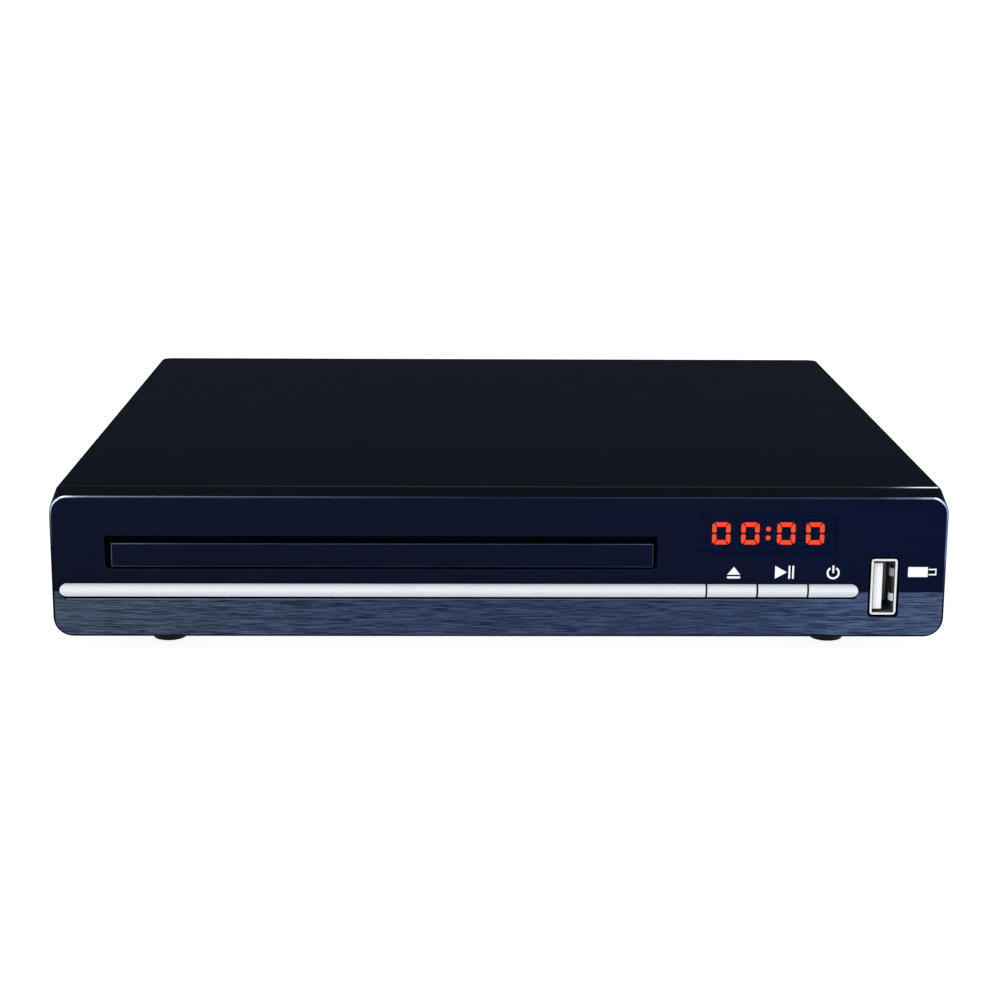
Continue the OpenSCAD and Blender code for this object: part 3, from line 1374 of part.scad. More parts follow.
// Spindle motor under the turntable, and the feed motor behind its screw.
module deck_motors() {
    color([0.7, 0.71, 0.73]) on_deck() difference() {
        union() {
            block([-13, spindle_y - 13, deck_top], [13, spindle_y + 11.5, deck_top + 0.6]);
            bar_along_z(deck_top, platter_top - 3.2, [0, spindle_y], 10);
            bar_along_z(deck_low - 0.8, deck_top + 0.1, [0, spindle_y], 4);
        }
        bar_along_z(deck_low, platter_top, [0, spindle_y], motor_shaft_r + running);
    }
    color([0.7, 0.71, 0.73]) on_deck() difference() {
        bar_along_y(feed_motor_y, feed_motor_y + 11, [screw_x, screw_z], feed_motor_r);
        bar_along_y(feed_motor_y - past, screw_back + 0.5, [screw_x, screw_z], screw_r + running);
    }
}

// Turntable on its shaft: platter, and a cone that centres the disc.
module turntable() {
    color([0.14, 0.14, 0.15]) on_deck() translate([0, spindle_y, 0]) {
        bar_along_z(deck_low + 0.4, platter_top - 2, [0, 0], motor_shaft_r);
        bar_along_z(platter_top - 2.4, platter_top, [0, 0], 13);
        translate([0, 0, platter_top]) cylinder(h = 1.2, r = 7.4);
        translate([0, 0, platter_top + 1.2]) cylinder(h = 1, r1 = 7.4, r2 = 5.6);
    }
}

module guide_rods() {
    color([0.82, 0.83, 0.85]) on_deck() for (m = [-1, 1])
        bar_along_y(rod_front + 0.8, rod_back - 0.8, [m * rod_x, rod_z], rod_r);
}

// Optical pickup: a block between the rods, with an eye on one rod and a fork on the
// other, a lens holder on top and a half nut around the feed screw.
module pickup() {
    top = platter_top - 3.2;
    color([0.3, 0.3, 0.32]) on_deck() difference() {
        union() {
            block([-20, pickup_front, deck_low - 0.4], [20, pickup_back, top]);
            block([-rod_x - 2.8, pickup_front + 3, deck_top + 0.3],
                [rod_x + 2.8, pickup_back - 3, rod_z + rod_r + 0.7]);
            block([-7, lens_y - 6, top - 0.1], [7, lens_y + 6, platter_top - 2.2]);
            block([screw_x - 2, nut_y - 1.5, screw_z - 2], [screw_x + 2, nut_y + 1.5, deck_top + 0.5]);
            block([screw_x - 2, nut_y - 1.5, deck_low - 0.4], [-19, nut_y + 1.5, deck_top + 0.5]);
        }
        bar_along_y(pickup_front - past, pickup_back + past, [-rod_x, rod_z], rod_r + running);
        block([rod_x - rod_r - clear, pickup_front, rod_z - rod_r - running],
            [rod_x + 4, pickup_back, rod_z + rod_r + running]);
        bar_along_y(nut_y - 3, nut_y + 3, [screw_x, screw_z], screw_r + running);
        bar_along_z(platter_top - 3, platter_top, [0, lens_y], 3.2);
    }
}

module pickup_lens() {
    color([0.5, 0.6, 0.75, 0.6]) on_deck() translate([0, lens_y, platter_top - 3])
        cylinder(h = 1.4, r = 3.2);
}

// Feed screw, carried below the deck, with its far end in the feed motor.
module feed_screw() {
    color([0.8, 0.8, 0.82]) on_deck()
        bar_along_y(screw_front - 1.8, screw_back, [screw_x, screw_z], screw_r);
}

top_cover();
chassis_pan();
rear_panel();
front_panel();
face_plate();
display_window();
trim_bar();
eject_button();
play_button();
power_button();
rubber_feet();
cover_screws();
inner_screws();
front_board();
led_display();
led_segments();
infrared_sensor();
switch_bodies();
eject_plunger();
play_plunger();
power_plunger();
port_shell();
port_tongue();
port_contacts();
main_board();
main_board_chips();
board_sockets();
board_capacitors();
ribbon_cables();
jack_board();
jack_block();
jack_rings();
jack_barrels();
video_shell();
video_tongue();
power_board();
transformer();
heat_sink();
power_inlet();
inlet_pins();
mains_leads();
loader_frame();
disc_tray();
tray_door();
clamp_bridge();
clamper();
clamp_magnet();
loading_motor();
motor_pulley();
drive_belt();
pulley_gear();
tray_gear();
cam_slider();
deck();
deck_motors();
turntable();
guide_rods();
pickup();
pickup_lens();
feed_screw();
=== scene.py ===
"""Looks of the slim disc player with a sliding tray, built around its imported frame."""
import bpy
import bmesh
from math import cos, pi, radians, sin
from mathutils import Matrix, Vector
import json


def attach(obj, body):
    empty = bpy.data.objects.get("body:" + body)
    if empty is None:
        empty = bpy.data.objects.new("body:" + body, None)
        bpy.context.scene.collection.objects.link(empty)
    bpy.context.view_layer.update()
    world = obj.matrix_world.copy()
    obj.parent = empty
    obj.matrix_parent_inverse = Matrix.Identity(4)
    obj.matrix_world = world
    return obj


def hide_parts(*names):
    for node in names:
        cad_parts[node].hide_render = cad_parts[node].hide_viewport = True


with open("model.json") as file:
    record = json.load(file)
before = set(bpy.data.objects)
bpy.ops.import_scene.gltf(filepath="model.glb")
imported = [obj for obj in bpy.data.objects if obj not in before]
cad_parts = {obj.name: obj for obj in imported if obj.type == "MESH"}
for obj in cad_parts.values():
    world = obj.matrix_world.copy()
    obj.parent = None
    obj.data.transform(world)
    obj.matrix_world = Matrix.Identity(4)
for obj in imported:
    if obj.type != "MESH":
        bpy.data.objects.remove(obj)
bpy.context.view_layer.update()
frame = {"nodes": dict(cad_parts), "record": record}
MM = 0.001

# Levels of the front in millimetres, as in the part's source. Depth is measured
# back from the front face, and FACE is where that face lies in the row frame.
FACE = -104.0
HALF_W = 112.9
PANEL_TOP = 41.1
CORNER_TOP = 4.4
EDGE_ROUND = 0.6
# How far behind the face a moulding's face may have its middle and still be front or rim.
FRONT_DEPTH = EDGE_ROUND + 0.05
# The rim's painted highlight runs down the right side, and on the left ends at this level.
RIM_LOW = 28.0
# The rim right of this X takes one painted highlight, and left of it the other, which fades out lower down.
RIM_SPLIT = -1
# Where the gloss plate ends and the brushed band begins.
SEAM = 16.3
# The painted highlight line before the cover: its two depths and its lowest level on the slope.
HEM = (4.6, 5.1)
HEM_LOW = 42
# Height of the band's painted highlight line under the bar.
FILM_LINE = 0.28
PLATE_T = 1.2
RECESS = (-99.4, 39.6, 22.0, 30.8)
RECESS_BEVEL = 1.3
WINDOW = (50.3, 84.9, 26.25, 36.25)
PORT_HOLE = (93.3, 101.1, 9.75, 25.55)
PORT_CORNER = 0.9
PORT_X = 97.2
PORT_Z = 17.65
# Half the width and half the height inside the port's shell, and the depths where its
# inside with painted shade and the block behind it begin.
PORT_INSIDE = (2.9, 7.0)
SHELL_START = 0.3
BLOCK_START = 11
BAR = (-110.8, 51.9)
KEYS = (52.35, 90.6)
BAR_MID = 16.7
BAR_H = 3.4
KEY_SLACK = 0.3
BAR_GROOVE = 0.22
BAR_DROP = 0.36
# Depth where the lacquer of the bar and the keys stops.
LACQUER_END = -0.1
# How far the printed ink stands out of the face.
INK_PROUD = 0.015
# The row of phono jacks, in X.
JACK_ROW = (-58.5, -6.5)
# The CAD meshes' loose triangles are joined within this distance, in metres.
JOIN = 2e-6


# ---- Tools ----

def linear(code):
    """A hex colour as the eye sees it, in the linear values that Blender works with."""
    parts = [int(code[i:i + 2], 16) / 255 for i in (1, 3, 5)]
    return tuple(p / 12.92 if p <= 0.04045 else ((p + 0.055) / 1.055) ** 2.4 for p in parts) + (1.0,)


def add(tree, kind, values=None, links=None, **settings):
    """Adds a shader node with its settings and input values, and links its inputs to outputs."""
    made = tree.nodes.new("ShaderNode" + kind)
    for key, value in settings.items():
        setattr(made, key, value)
    for key, value in (values or {}).items():
        made.inputs[key].default_value = value
    for key, output in (links or {}).items():
        tree.links.new(output, made.inputs[key])
    return made


def start(name, colour, roughness, metallic=0.0, specular=0.5):
    """A new material with its plain values set straight on the shader."""
    made = bpy.data.materials.new(name)
    made.use_nodes = True
    shader = made.node_tree.nodes["Principled BSDF"]
    for key, value in (("Base Color", linear(colour)), ("Roughness", roughness), ("Metallic", metallic),
                       ("Specular IOR Level", specular)):
        shader.inputs[key].default_value = value
    return made, made.node_tree, shader


def pattern(name, dark, light, grain, stretch=(1, 1, 1), rough=(0.4, 0.5), metallic=0.0, specular=0.5,
            bump=0.1, depth=0.02, detail=3.0, spots=0.25, band=(0.3, 0.7), ramps=(), alpha=1.0):
    """A surface whose grain, in millimetres, shades its colour, its roughness and its relief.

    stretch makes the grain longer along an axis, as brushing and rolling do. depth is the
    relief in millimetres. spots is how much of a slow drift in tone lies over the grain.
    A narrow band makes the grain's tones differ more. Each of ramps tints the colour along an
    axis: its letter, its two ends in millimetres, and the tints with their shares of the way.
    """
    made, tree, shader = start(name, light, rough[1], metallic, specular)
    shader.inputs["Alpha"].default_value = alpha
    place = add(tree, "TexCoord").outputs["Object"]
    place = add(tree, "Mapping", {"Scale": tuple(1 / s for s in stretch)},
                {"Vector": place}).outputs["Vector"]
    fine = add(tree, "TexNoise", {"Scale": 1000 / grain, "Detail": detail, "Roughness": 0.6},
               {"Vector": place}).outputs["Fac"]
    slow = add(tree, "TexNoise", {"Scale": 1000 / (grain * 37), "Detail": 2.0},
               {"Vector": place}).outputs["Fac"]
    both = add(tree, "Mix", {"Factor": spots}, {"A": fine, "B": slow}, data_type="FLOAT").outputs["Result"]
    tone = add(tree, "MapRange", {"From Min": band[0], "From Max": band[1]},
               {"Value": both}).outputs["Result"]
    colour = add(tree, "Mix", {6: linear(dark), 7: linear(light)}, {"Factor": tone},
                 data_type="RGBA").outputs[2]
    for axis, low, high, tints in ramps:
        where = add(tree, "TexCoord").outputs["Object"]
        along = add(tree, "SeparateXYZ", {}, {"Vector": where}).outputs[axis]
        share = add(tree, "MapRange", {"From Min": low * MM, "From Max": high * MM}, {"Value": along})
        tint = add(tree, "ValToRGB", {}, {"Fac": share.outputs["Result"]})
        stops = tint.color_ramp.elements
        for spot, _ in tints[1:-1]:
            stops.new(spot)
        for stop, (spot, code) in zip(stops, tints):
            stop.position, stop.color = spot, linear(code)
        colour = add(tree, "VectorMath", {}, {0: colour, 1: tint.outputs["Color"]},
                     operation="MULTIPLY").outputs[0]
    tree.links.new(colour, shader.inputs["Base Color"])
    polish = add(tree, "MapRange", {"To Min": rough[0], "To Max": rough[1]},
                 {"Value": tone}).outputs["Result"]
    tree.links.new(polish, shader.inputs["Roughness"])
    relief = add(tree, "Bump", {"Strength": bump, "Distance": depth * MM}, {"Height": fine}).outputs["Normal"]
    tree.links.new(relief, shader.inputs["Normal"])
    return made


def new_piece(name, bm, material, body, slot, *nodes):
    """Makes an object of a bmesh, in its place, sets what it rides on and hides the CAD nodes that it takes
    the place of.
    """
    mesh = bpy.data.meshes.new(name)
    bm.to_mesh(mesh)
    bm.free()
    for one in material if isinstance(material, (list, tuple)) else [material]:
        mesh.materials.append(one)
    piece = bpy.data.objects.new(name, mesh)
    bpy.context.collection.objects.link(piece)
    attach(piece, body)
    if nodes:
        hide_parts(*nodes)
    return piece


def soften(piece, width, segments=2, sharp=34, finish=-1):
    """Small rounded edges, as moulding, stamping or turning leaves them. width is in millimetres.

    finish is the material slot that the edges take, or -1 for that of the faces beside them.
    """
    piece.data.shade_smooth()
    piece.data.set_sharp_from_angle(angle=radians(sharp))
    if width:
        edge = piece.modifiers.new("edge", "BEVEL")
        edge.width = width * MM
        edge.segments = segments
        edge.limit_method = "ANGLE"
        edge.angle_limit = radians(sharp)
        edge.material = finish
        edge.harden_normals = True
    return piece


def even_shading(piece):
    """Keeps the wide faces shading flat beside the small rounded ones."""
    even = piece.modifiers.new("even", "WEIGHTED_NORMAL")
    even.keep_sharp = True


def fix(piece):
    """Applies the modifiers, so that the piece is a plain mesh again."""
    graph = bpy.context.evaluated_depsgraph_get()
    shaped = bpy.data.meshes.new_from_object(piece.evaluated_get(graph))
    old = piece.data
    piece.modifiers.clear()
    piece.data = shaped
    bpy.data.meshes.remove(old)
    return piece


def carve(piece, cutters):
    """Cuts shapes out of a piece. Each cutter is a closed bmesh."""
    tools = []
    for bm in cutters:
        mesh = bpy.data.meshes.new("cutter")
        bm.to_mesh(mesh)
        bm.free()
        for one in piece.data.materials:
            mesh.materials.append(one)
        tool = bpy.data.objects.new("cutter", mesh)
        bpy.context.collection.objects.link(tool)
        cut = piece.modifiers.new("cut", "BOOLEAN")
        cut.operation = "DIFFERENCE"
        cut.solver = "EXACT"
        cut.object = tool
        tools.append(tool)
    fix(piece)
    for tool in tools:
        bpy.data.objects.remove(tool)
    return piece


def box(bm, x, y, z, bevel=0.0, segments=3, lines=None):
    """A block between millimetre limits, y as depth. lines picks the edges that the bevel rounds."""
    made = bmesh.ops.create_cube(bm, size=1.0)["verts"]
    low, high = (Vector((a, FACE + b, c)) for a, b, c in ((x[0], y[0], z[0]), (x[1], y[1], z[1])))
    span = high - low
    for v in made:
        v.co = Vector(((v.co[i] + 0.5) * span[i] + low[i]) * MM for i in range(3))
    if bevel:
        edges = {e for v in made for e in v.link_edges}
        if lines:
            edges = {e for e in edges if lines(e)}
        bmesh.ops.bevel(bm, geom=list(edges), offset=bevel * MM, segments=segments, profile=0.5,
                        affect="EDGES", material=-1)
    return bm


def along_y(e):
    """True for an edge that runs straight back."""
    a, b = e.verts[0].co, e.verts[1].co
    return abs(a.x - b.x) < 1e-7 and abs(a.z - b.z) < 1e-7


def bar_form(bm, x0, x1, y0, y1, h, round_left, round_right, drop=0.0):
    """A bar's outline with round ends where asked, given depth. drop lowers its lower half."""
    def rounded_end(e):
        side = e.verts[0].co.x / MM
        return along_y(e) and ((round_left and side < x0 + 0.01) or (round_right and side > x1 - 0.01))
    box(bm, (x0, x1), (y0, y1), (BAR_MID - h / 2, BAR_MID + h / 2), h / 2 - 0.002, 10, rounded_end)
    lower = [v for v in bm.verts if v.co.z < (BAR_MID - 0.01) * MM]
    bmesh.ops.translate(bm, vec=(0, 0, -drop * MM), verts=lower)
    return bm


def split(bm, axis, level, faces=None):
    """Cuts the given faces, or all of them, where they cross a level on X, Y or Z, in millimetres."""
    across = Vector([float(axis == letter) for letter in "XYZ"])
    geom = bm.verts[:] + bm.edges[:] + bm.faces[:]
    if faces is not None:
        geom = list(dict.fromkeys(part for f in faces for part in (f, *f.edges, *f.verts)))
    bmesh.ops.bisect_plane(bm, geom=geom, plane_co=across * (level * MM), plane_no=across)


def printed(bm, corners):
    """A flat printed shape on the face. corners are X and Z in millimetres."""
    ring = [bm.verts.new((x * MM, (FACE - INK_PROUD) * MM, z * MM)) for x, z in corners]
    face = bm.faces.new(ring)
    out = bmesh.ops.extrude_face_region(bm, geom=[face])["geom"]
    back = [g for g in out if isinstance(g, bmesh.types.BMVert)]
    bmesh.ops.translate(bm, vec=(0, 2 * INK_PROUD * MM, 0), verts=back)
    return bm


def printed_block(bm, x0, x1, z0, z1):
    """A printed rectangle."""
    return printed(bm, [(x0, z0), (x1, z0), (x1, z1), (x0, z1)])


def dressed(name, node, material, width):
    """A CAD node's own form with its loose triangles joined and its edges softened.

    A pair of materials gives the second one to the softened edges.
    """
    bm = bmesh.new()
    bm.from_mesh(frame["nodes"][node].data)
    bmesh.ops.remove_doubles(bm, verts=bm.verts, dist=JOIN)
    bmesh.ops.dissolve_limit(bm, angle_limit=radians(0.4), verts=bm.verts, edges=bm.edges)
    bmesh.ops.recalc_face_normals(bm, faces=bm.faces)
    body = next(b for b, members in frame["record"]["behaviour"]["bodies"].items() if node in members)
    slot = next(s["material_slot"] for s in frame["record"]["subparts"] if s["node"] == node)
    piece = new_piece(name, bm, material, body, slot, node)
    if "custom_normal" in piece.data.attributes:
        piece.data.attributes.remove(piece.data.attributes["custom_normal"])
    return soften(piece, width, finish=1 if isinstance(material, tuple) else -1)


# ---- Materials ----

# Black powder coat on bent steel sheet: near black, quite matt, with a very fine
# grain that breaks up the light, and painted shade that makes it a shade darker towards the
# front. The real grain is 0.1 mm and is drawn at 0.35 mm.
COVER = pattern("black_powder_coat", "#0a0c14", "#11141d", 0.35, rough=(0.8, 0.9), specular=0.006, bump=0.12,
                ramps=[("Y", -100.0, -20.0, ((0.0, "#d9dce2"), (1.0, "#ffffff")))])
# The same coat along the cover's folded edges: a grey line, partly rubbed thin coat and partly
# painted highlight, brighter in the middle, that turns to a nearly white painted highlight towards its right
# end.
EDGE_WEAR_AND_HIGHLIGHT = ("X", -HALF_W, HALF_W,
             ((0.0, "#0e0f12"), (0.27, "#1a1c20"), (0.45, "#24262c"), (0.6, "#22242a"), (0.7, "#1a1c20"),
              (0.9, "#1a1c22"), (0.937, "#404450"), (0.955, "#a2a8b4"), (0.967, "#f6f8ff"),
              (1.0, "#ffffff")))
COVER_EDGE = pattern("rubbed_powder_coat_painted_highlight", "#e8ecf4", "#ffffff", 0.35, rough=(0.35, 0.45), specular=0.02,
                     bump=0.05, ramps=[EDGE_WEAR_AND_HIGHLIGHT])
# Zinc-plated steel sheet: bright grey with cloudy patches and fine rolling lines.
SHEET = pattern("zinc_plated_sheet", "#8e9298", "#b6bac0", 0.5, (9, 1, 1), (0.32, 0.45), 1.0, bump=0.06)
# Black painted sheet of the rear wall: satin, with a slight orange peel.
REAR = pattern("satin_black_paint", "#131417", "#1b1c20", 0.7, rough=(0.36, 0.46), specular=0.3, bump=0.1)
# Back-painted gloss acrylic: deep navy black, with a faint brushed film under the gloss,
# warmer on the left and bluer on the right.
FACE_TINTS = ("X", -HALF_W, HALF_W, ((0.0, "#f4ecda"), (0.5, "#fff6ea"), (0.76, "#e4ecf4"), (1.0, "#c0e0ff")))
GLOSS = pattern("back_painted_acrylic", "#080f22", "#0e1632", 0.22, (60, 1, 1), (0.10, 0.16), specular=0.02,
                bump=0.02, depth=0.004, ramps=[FACE_TINTS])
# Gloss black ABS of the moulding round the plate: the darkest surface, with hardly a sheen.
SURROUND = pattern("gloss_black_abs", "#04060b", "#080b16", 0.4, rough=(0.25, 0.35), specular=0.006,
                   bump=0.03)
# The moulding's front rim: a thin line of metal-like finish whose colour is a painted highlight,
# bright at the corners and dark along the middle of the top edge and lower down the sides, more so on the
# left.
RIM_PAINTED_HIGHLIGHT = ("X", -HALF_W, HALF_W,
            ((0.0, "#b4c0d8"), (0.015, "#aab8d0"), (0.03, "#626a7c"), (0.045, "#4c5464"), (0.1, "#464e5e"),
             (0.28, "#3a4252"), (0.5, "#1e2638"), (0.92, "#343c4e"), (0.94, "#5c6474"), (0.96, "#667082"),
             (0.975, "#9ca6ba"), (0.99, "#b8c4dc"), (1.0, "#8c98c0")))
RIGHT_RIM_PAINTED_HIGHLIGHT = ("Z", 18.0, 38.0,
              ((0.0, "#3c4048"), (0.22, "#5a6274"), (0.38, "#b0bcd8"), (0.8, "#a0acc8"), (1.0, "#ffffff")))
LEFT_RIM_PAINTED_HIGHLIGHT = ("Z", RIM_LOW, RIM_LOW + 10,
             ((0.0, "#282c30"), (0.23, "#383c44"), (0.43, "#585c64"), (0.58, "#60646c"), (0.73, "#7c828c"),
              (0.83, "#a0a6b0"), (0.93, "#f4f8ff"), (1.0, "#ffffff")))
RIM = pattern("rim_painted_highlight", "#d0d8e8", "#f4f8ff", 0.4, rough=(0.2, 0.28), metallic=1.0, bump=0.02,
              ramps=[RIM_PAINTED_HIGHLIGHT, RIGHT_RIM_PAINTED_HIGHLIGHT])
RIM_LEFT = pattern("left_rim_painted_highlight", "#d0d8e8", "#f4f8ff", 0.4, rough=(0.2, 0.28), metallic=1.0,
                   bump=0.02, ramps=[RIM_PAINTED_HIGHLIGHT, LEFT_RIM_PAINTED_HIGHLIGHT])
# The milled edges of the plate, a shade lighter than its face as milled finish and painted highlight,
# and of the tray's door, lighter still, with a painted highlight brightest at the two ends.
MILLED_EDGE_AND_HIGHLIGHT = pattern("milled_acrylic_edge_and_highlight", "#1f2434", "#2c3242", 0.4, rough=(0.4, 0.5), specular=0.05, bump=0.03)
DOOR_EDGE_PAINTED_HIGHLIGHT = ("X", -HALF_W, HALF_W,
             ((0.08, "#ffffff"), (0.16, "#b0b0b4"), (0.6, "#a0a0a6"), (0.66, "#dcdce4")))
DOOR_EDGE = pattern("milled_door_edge_painted_highlight", "#4c5264", "#686e82", 0.4, rough=(0.4, 0.5), specular=0.05, bump=0.03,
                    ramps=[DOOR_EDGE_PAINTED_HIGHLIGHT])
# Brushed film on the lower band: blue-grey with horizontal hairlines about 6 mm long, and a
# painted sheen that makes it a little paler and greyer towards the ends. The real hairlines are
# taken to be 0.05 mm apart and are drawn at 0.11 mm, so that they show.
BAND_PAINTED_SHEEN = ("X", -HALF_W, HALF_W,
              ((0.0, "#f5f0da"), (0.15, "#e0dcd0"), (0.45, "#c1c7ce"), (0.8, "#c4ccd6"), (0.88, "#fafcff")))
BAND = pattern("brushed_blue_film", "#1f2b45", "#526384", 0.11, (52, 1, 1), (0.45, 0.6), 0.0, 0.05, bump=0.2,
               depth=0.01, detail=2.0, spots=0.02, band=(0.44, 0.56), ramps=[BAND_PAINTED_SHEEN])
# A painted highlight along the bar's groove: a thin paler line on the flat film, standing for the light that
# its edge catches.
FILM_EDGE_HIGHLIGHT = pattern("painted_film_edge_highlight", "#566580", "#7e8ca6", 0.26, (18, 1, 1), (0.4, 0.5), 0.0, 0.1, bump=0.03,
              ramps=[BAND_PAINTED_SHEEN])
# Pearl lacquer on ABS: the bar and the keys, cool white and satin, with painted shade:
# greyer along the upper edge, whitest across the middle and faintly bluish below.
PEARL_PAINTED_SHADE = ("Z", BAR_MID - BAR_H / 2, BAR_MID + BAR_H / 2,
              ((0.0, "#f0f4ff"), (0.3, "#f4f5f8"), (0.5, "#ffffff"), (0.78, "#e6e8ea"), (1.0, "#a8b0b6")))
PEARL = pattern("pearl_lacquered_abs", "#e3e6ea", "#f1f1f2", 0.25, rough=(0.24, 0.32), specular=0.3,
                bump=0.03, ramps=[PEARL_PAINTED_SHADE])
# White screen-print ink on the face: flat and even, a little rough at its surface.
INK = pattern("white_print_ink", "#f2f4fa", "#ffffff", 0.2, rough=(0.5, 0.6), specular=0.2, bump=0.03)
# Moulded rubber of the feet: dull and dark, with a fine moulded grain.
RUBBER = pattern("moulded_rubber", "#07080d", "#0f1118", 0.5, rough=(0.5, 0.65), specular=0.15, bump=0.25)
# Black oxide on screw steel: dark, with a dull metal sheen.
SCREW = pattern("black_oxide_screw", "#1b1c1f", "#2a2b2f", 0.3, rough=(0.3, 0.42), metallic=0.8, bump=0.06)
# Zinc plate on screw steel: pale and satin, a little warm.
ZINC = pattern("zinc_screw", "#a9a89f", "#c9c8c0", 0.3, rough=(0.25, 0.38), metallic=1.0, bump=0.05)
# Nickel plate on drawn steel: bright, with faint lines along the sheet.
NICKEL = pattern("nickel_plated_sheet", "#c3c7cc", "#dfe2e6", 0.3, (6, 1, 1), (0.16, 0.26), 1.0, bump=0.03)
# The port shell's inside, painted dark as painted shade: dark drawn steel, with a greenish cast.
SHELL_INSIDE_SHADE = pattern("drawn_steel_inside_painted_shade", "#2a3533", "#5c6a64", 0.6, rough=(0.5, 0.6), specular=0.1,
                       bump=0.1)
# Tin-plated spring strips, satin and pale.
SPRING = pattern("tin_plated_spring", "#c8cacc", "#e6e8ea", 0.3, (1, 1, 4), (0.4, 0.5), 0.3, bump=0.05)
# The moulded block that closes the port at the back: pale grey blue, satin.
PORT_BACK = pattern("grey_blue_nylon", "#c4cae6", "#dce0f4", 0.4, rough=(0.4, 0.5), specular=0.2, bump=0.03)
# Moulded nylon of the port's tongue and the cable sockets: white and satin.
NYLON = pattern("white_nylon", "#f2f4f6", "#fcfcfc", 0.3, rough=(0.35, 0.45), bump=0.05)
# A flash of gold on the port's contacts: warm yellow and bright.
GOLD = pattern("gold_flash_contact", "#c9993f", "#e2b964", 0.3, (6, 1, 1), (0.2, 0.3), 1.0, bump=0.03)
# Drawn and zinc-plated motor cans: grey, with faint lines along the can.
STEEL_CAN = pattern("zinc_motor_can", "#9aa0a6", "#bcc1c7", 0.4, (1, 1, 8), (0.25, 0.36), 1.0, bump=0.05)
# Moulded epoxy of chips and small parts: black, dull, with a fine grit.
EPOXY = pattern("black_epoxy", "#101012", "#1c1c1f", 0.25, rough=(0.5, 0.62), specular=0.3, bump=0.12)
# Black ABS with the spark-eroded grain of its mould: the frames coarser, the tray finer.
ABS_FRAME = pattern("moulded_black_abs", "#17181b", "#212226", 0.45, rough=(0.42, 0.55), specular=0.35,
                    bump=0.14)
ABS_TRAY = pattern("fine_spark_black_abs", "#131417", "#1d1e22", 0.3, rough=(0.38, 0.5), specular=0.35,
                   bump=0.12)
# Moulded acetal: slightly waxy, cream for the gears, white for the clamper, grey for the slider.
POM = pattern("moulded_acetal", "#d9d5c4", "#ece8d8", 0.4, rough=(0.32, 0.42), bump=0.05)
POM_WHITE = pattern("white_acetal", "#dcdcd6", "#efefe9", 0.4, rough=(0.32, 0.42), bump=0.05)
SLIDER = pattern("grey_acetal", "#a9aaa4", "#c2c3bb", 0.4, rough=(0.34, 0.45), bump=0.06)
# Ground rubber of the drive belt: black and quite dull.
BELT = pattern("ground_rubber_belt", "#0e0e0f", "#1d1d1f", 0.2, rough=(0.6, 0.75), specular=0.25, bump=0.2)
# Ground steel rod: bright, with lines along its length.
ROD = pattern("ground_steel_rod", "#b9bcc1", "#dcdee2", 0.2, (1, 12, 1), (0.12, 0.22), 1.0, bump=0.02)
# Die-cast zinc of the pickup's sled: mid grey, dull and slightly pitted.
CAST = pattern("die_cast_zinc", "#4c4d50", "#67686c", 0.4, rough=(0.4, 0.55), metallic=0.7, bump=0.15)
# Sintered ferrite of the clamp magnet: dark grey and grainy.
FERRITE = pattern("sintered_ferrite", "#303033", "#48484c", 0.3, rough=(0.55, 0.7), metallic=0.2, bump=0.15)
# Shrunk plastic sleeve of the capacitors: dark blue and fairly shiny.
SLEEVE = pattern("capacitor_sleeve", "#11182c", "#1b2440", 0.6, (1, 1, 10), (0.2, 0.3), bump=0.04)
# PVC of the flat cables: pale grey, ribbed by its wires.
FLAT_CABLE = pattern("flat_cable_pvc", "#a9abad", "#d8dadc", 0.5, (1, 40, 40), (0.35, 0.45), bump=0.3,
                     depth=0.08)
# PVC of the mains leads: black and satin.
LEAD = pattern("lead_pvc", "#131315", "#202023", 0.4, rough=(0.4, 0.5), bump=0.05)
# Polyester tape round the transformer: amber and shiny.
TAPE = pattern("polyester_tape", "#c29a22", "#dcb740", 0.9, (8, 8, 1), (0.2, 0.32), bump=0.08)
# Extruded aluminium of the heat sink: pale, with lines along the extrusion.
ALLOY = pattern("extruded_aluminium", "#a4a7ac", "#c9ccd0", 0.25, (1, 1, 30), (0.3, 0.42), 1.0, bump=0.08)
# Paper board bonded with phenolic resin: brown and matt.
BROWN = pattern("phenolic_paper_board", "#8a6230", "#a87b43", 0.35, (5, 1, 1), (0.45, 0.55), bump=0.1)
# Epoxy of the infrared sensor: nearly black, with a red cast and a shine.
SENSOR = pattern("dark_red_epoxy", "#12080c", "#1e0d13", 0.4, rough=(0.15, 0.25), specular=0.4, bump=0.04)
# Resin round the display's strokes: black and matt, so that only the strokes show.
LED_BODY = pattern("black_display_resin", "#08080a", "#0d0d10", 0.4, rough=(0.5, 0.6), specular=0.05,
                   bump=0.05)


def circuit_board():
    """Green solder mask over copper: a lighter maze of tracks under a glossy green."""
    made, tree, shader = start("green_solder_mask", "#1c5a33", 0.3, specular=0.5)
    place = add(tree, "TexCoord").outputs["Object"]
    cells = add(tree, "TexVoronoi", {"Scale": 1000 / 2.4, "Randomness": 0.25}, {"Vector": place},
                distance="CHEBYCHEV", feature="F1").outputs["Distance"]
    tracks = add(tree, "MapRange", {"From Min": 0.30, "From Max": 0.36}, {"Value": cells}).outputs["Result"]
    colour = add(tree, "Mix", {6: linear("#2c7a45"), 7: linear("#154726")}, {"Factor": tracks},
                 data_type="RGBA")
    tree.links.new(colour.outputs[2], shader.inputs["Base Color"])
    relief = add(tree, "Bump", {"Strength": 0.3, "Distance": 0.03 * MM}, {"Height": tracks}).outputs["Normal"]
    tree.links.new(relief, shader.inputs["Normal"])
    return made


BOARD = circuit_board()


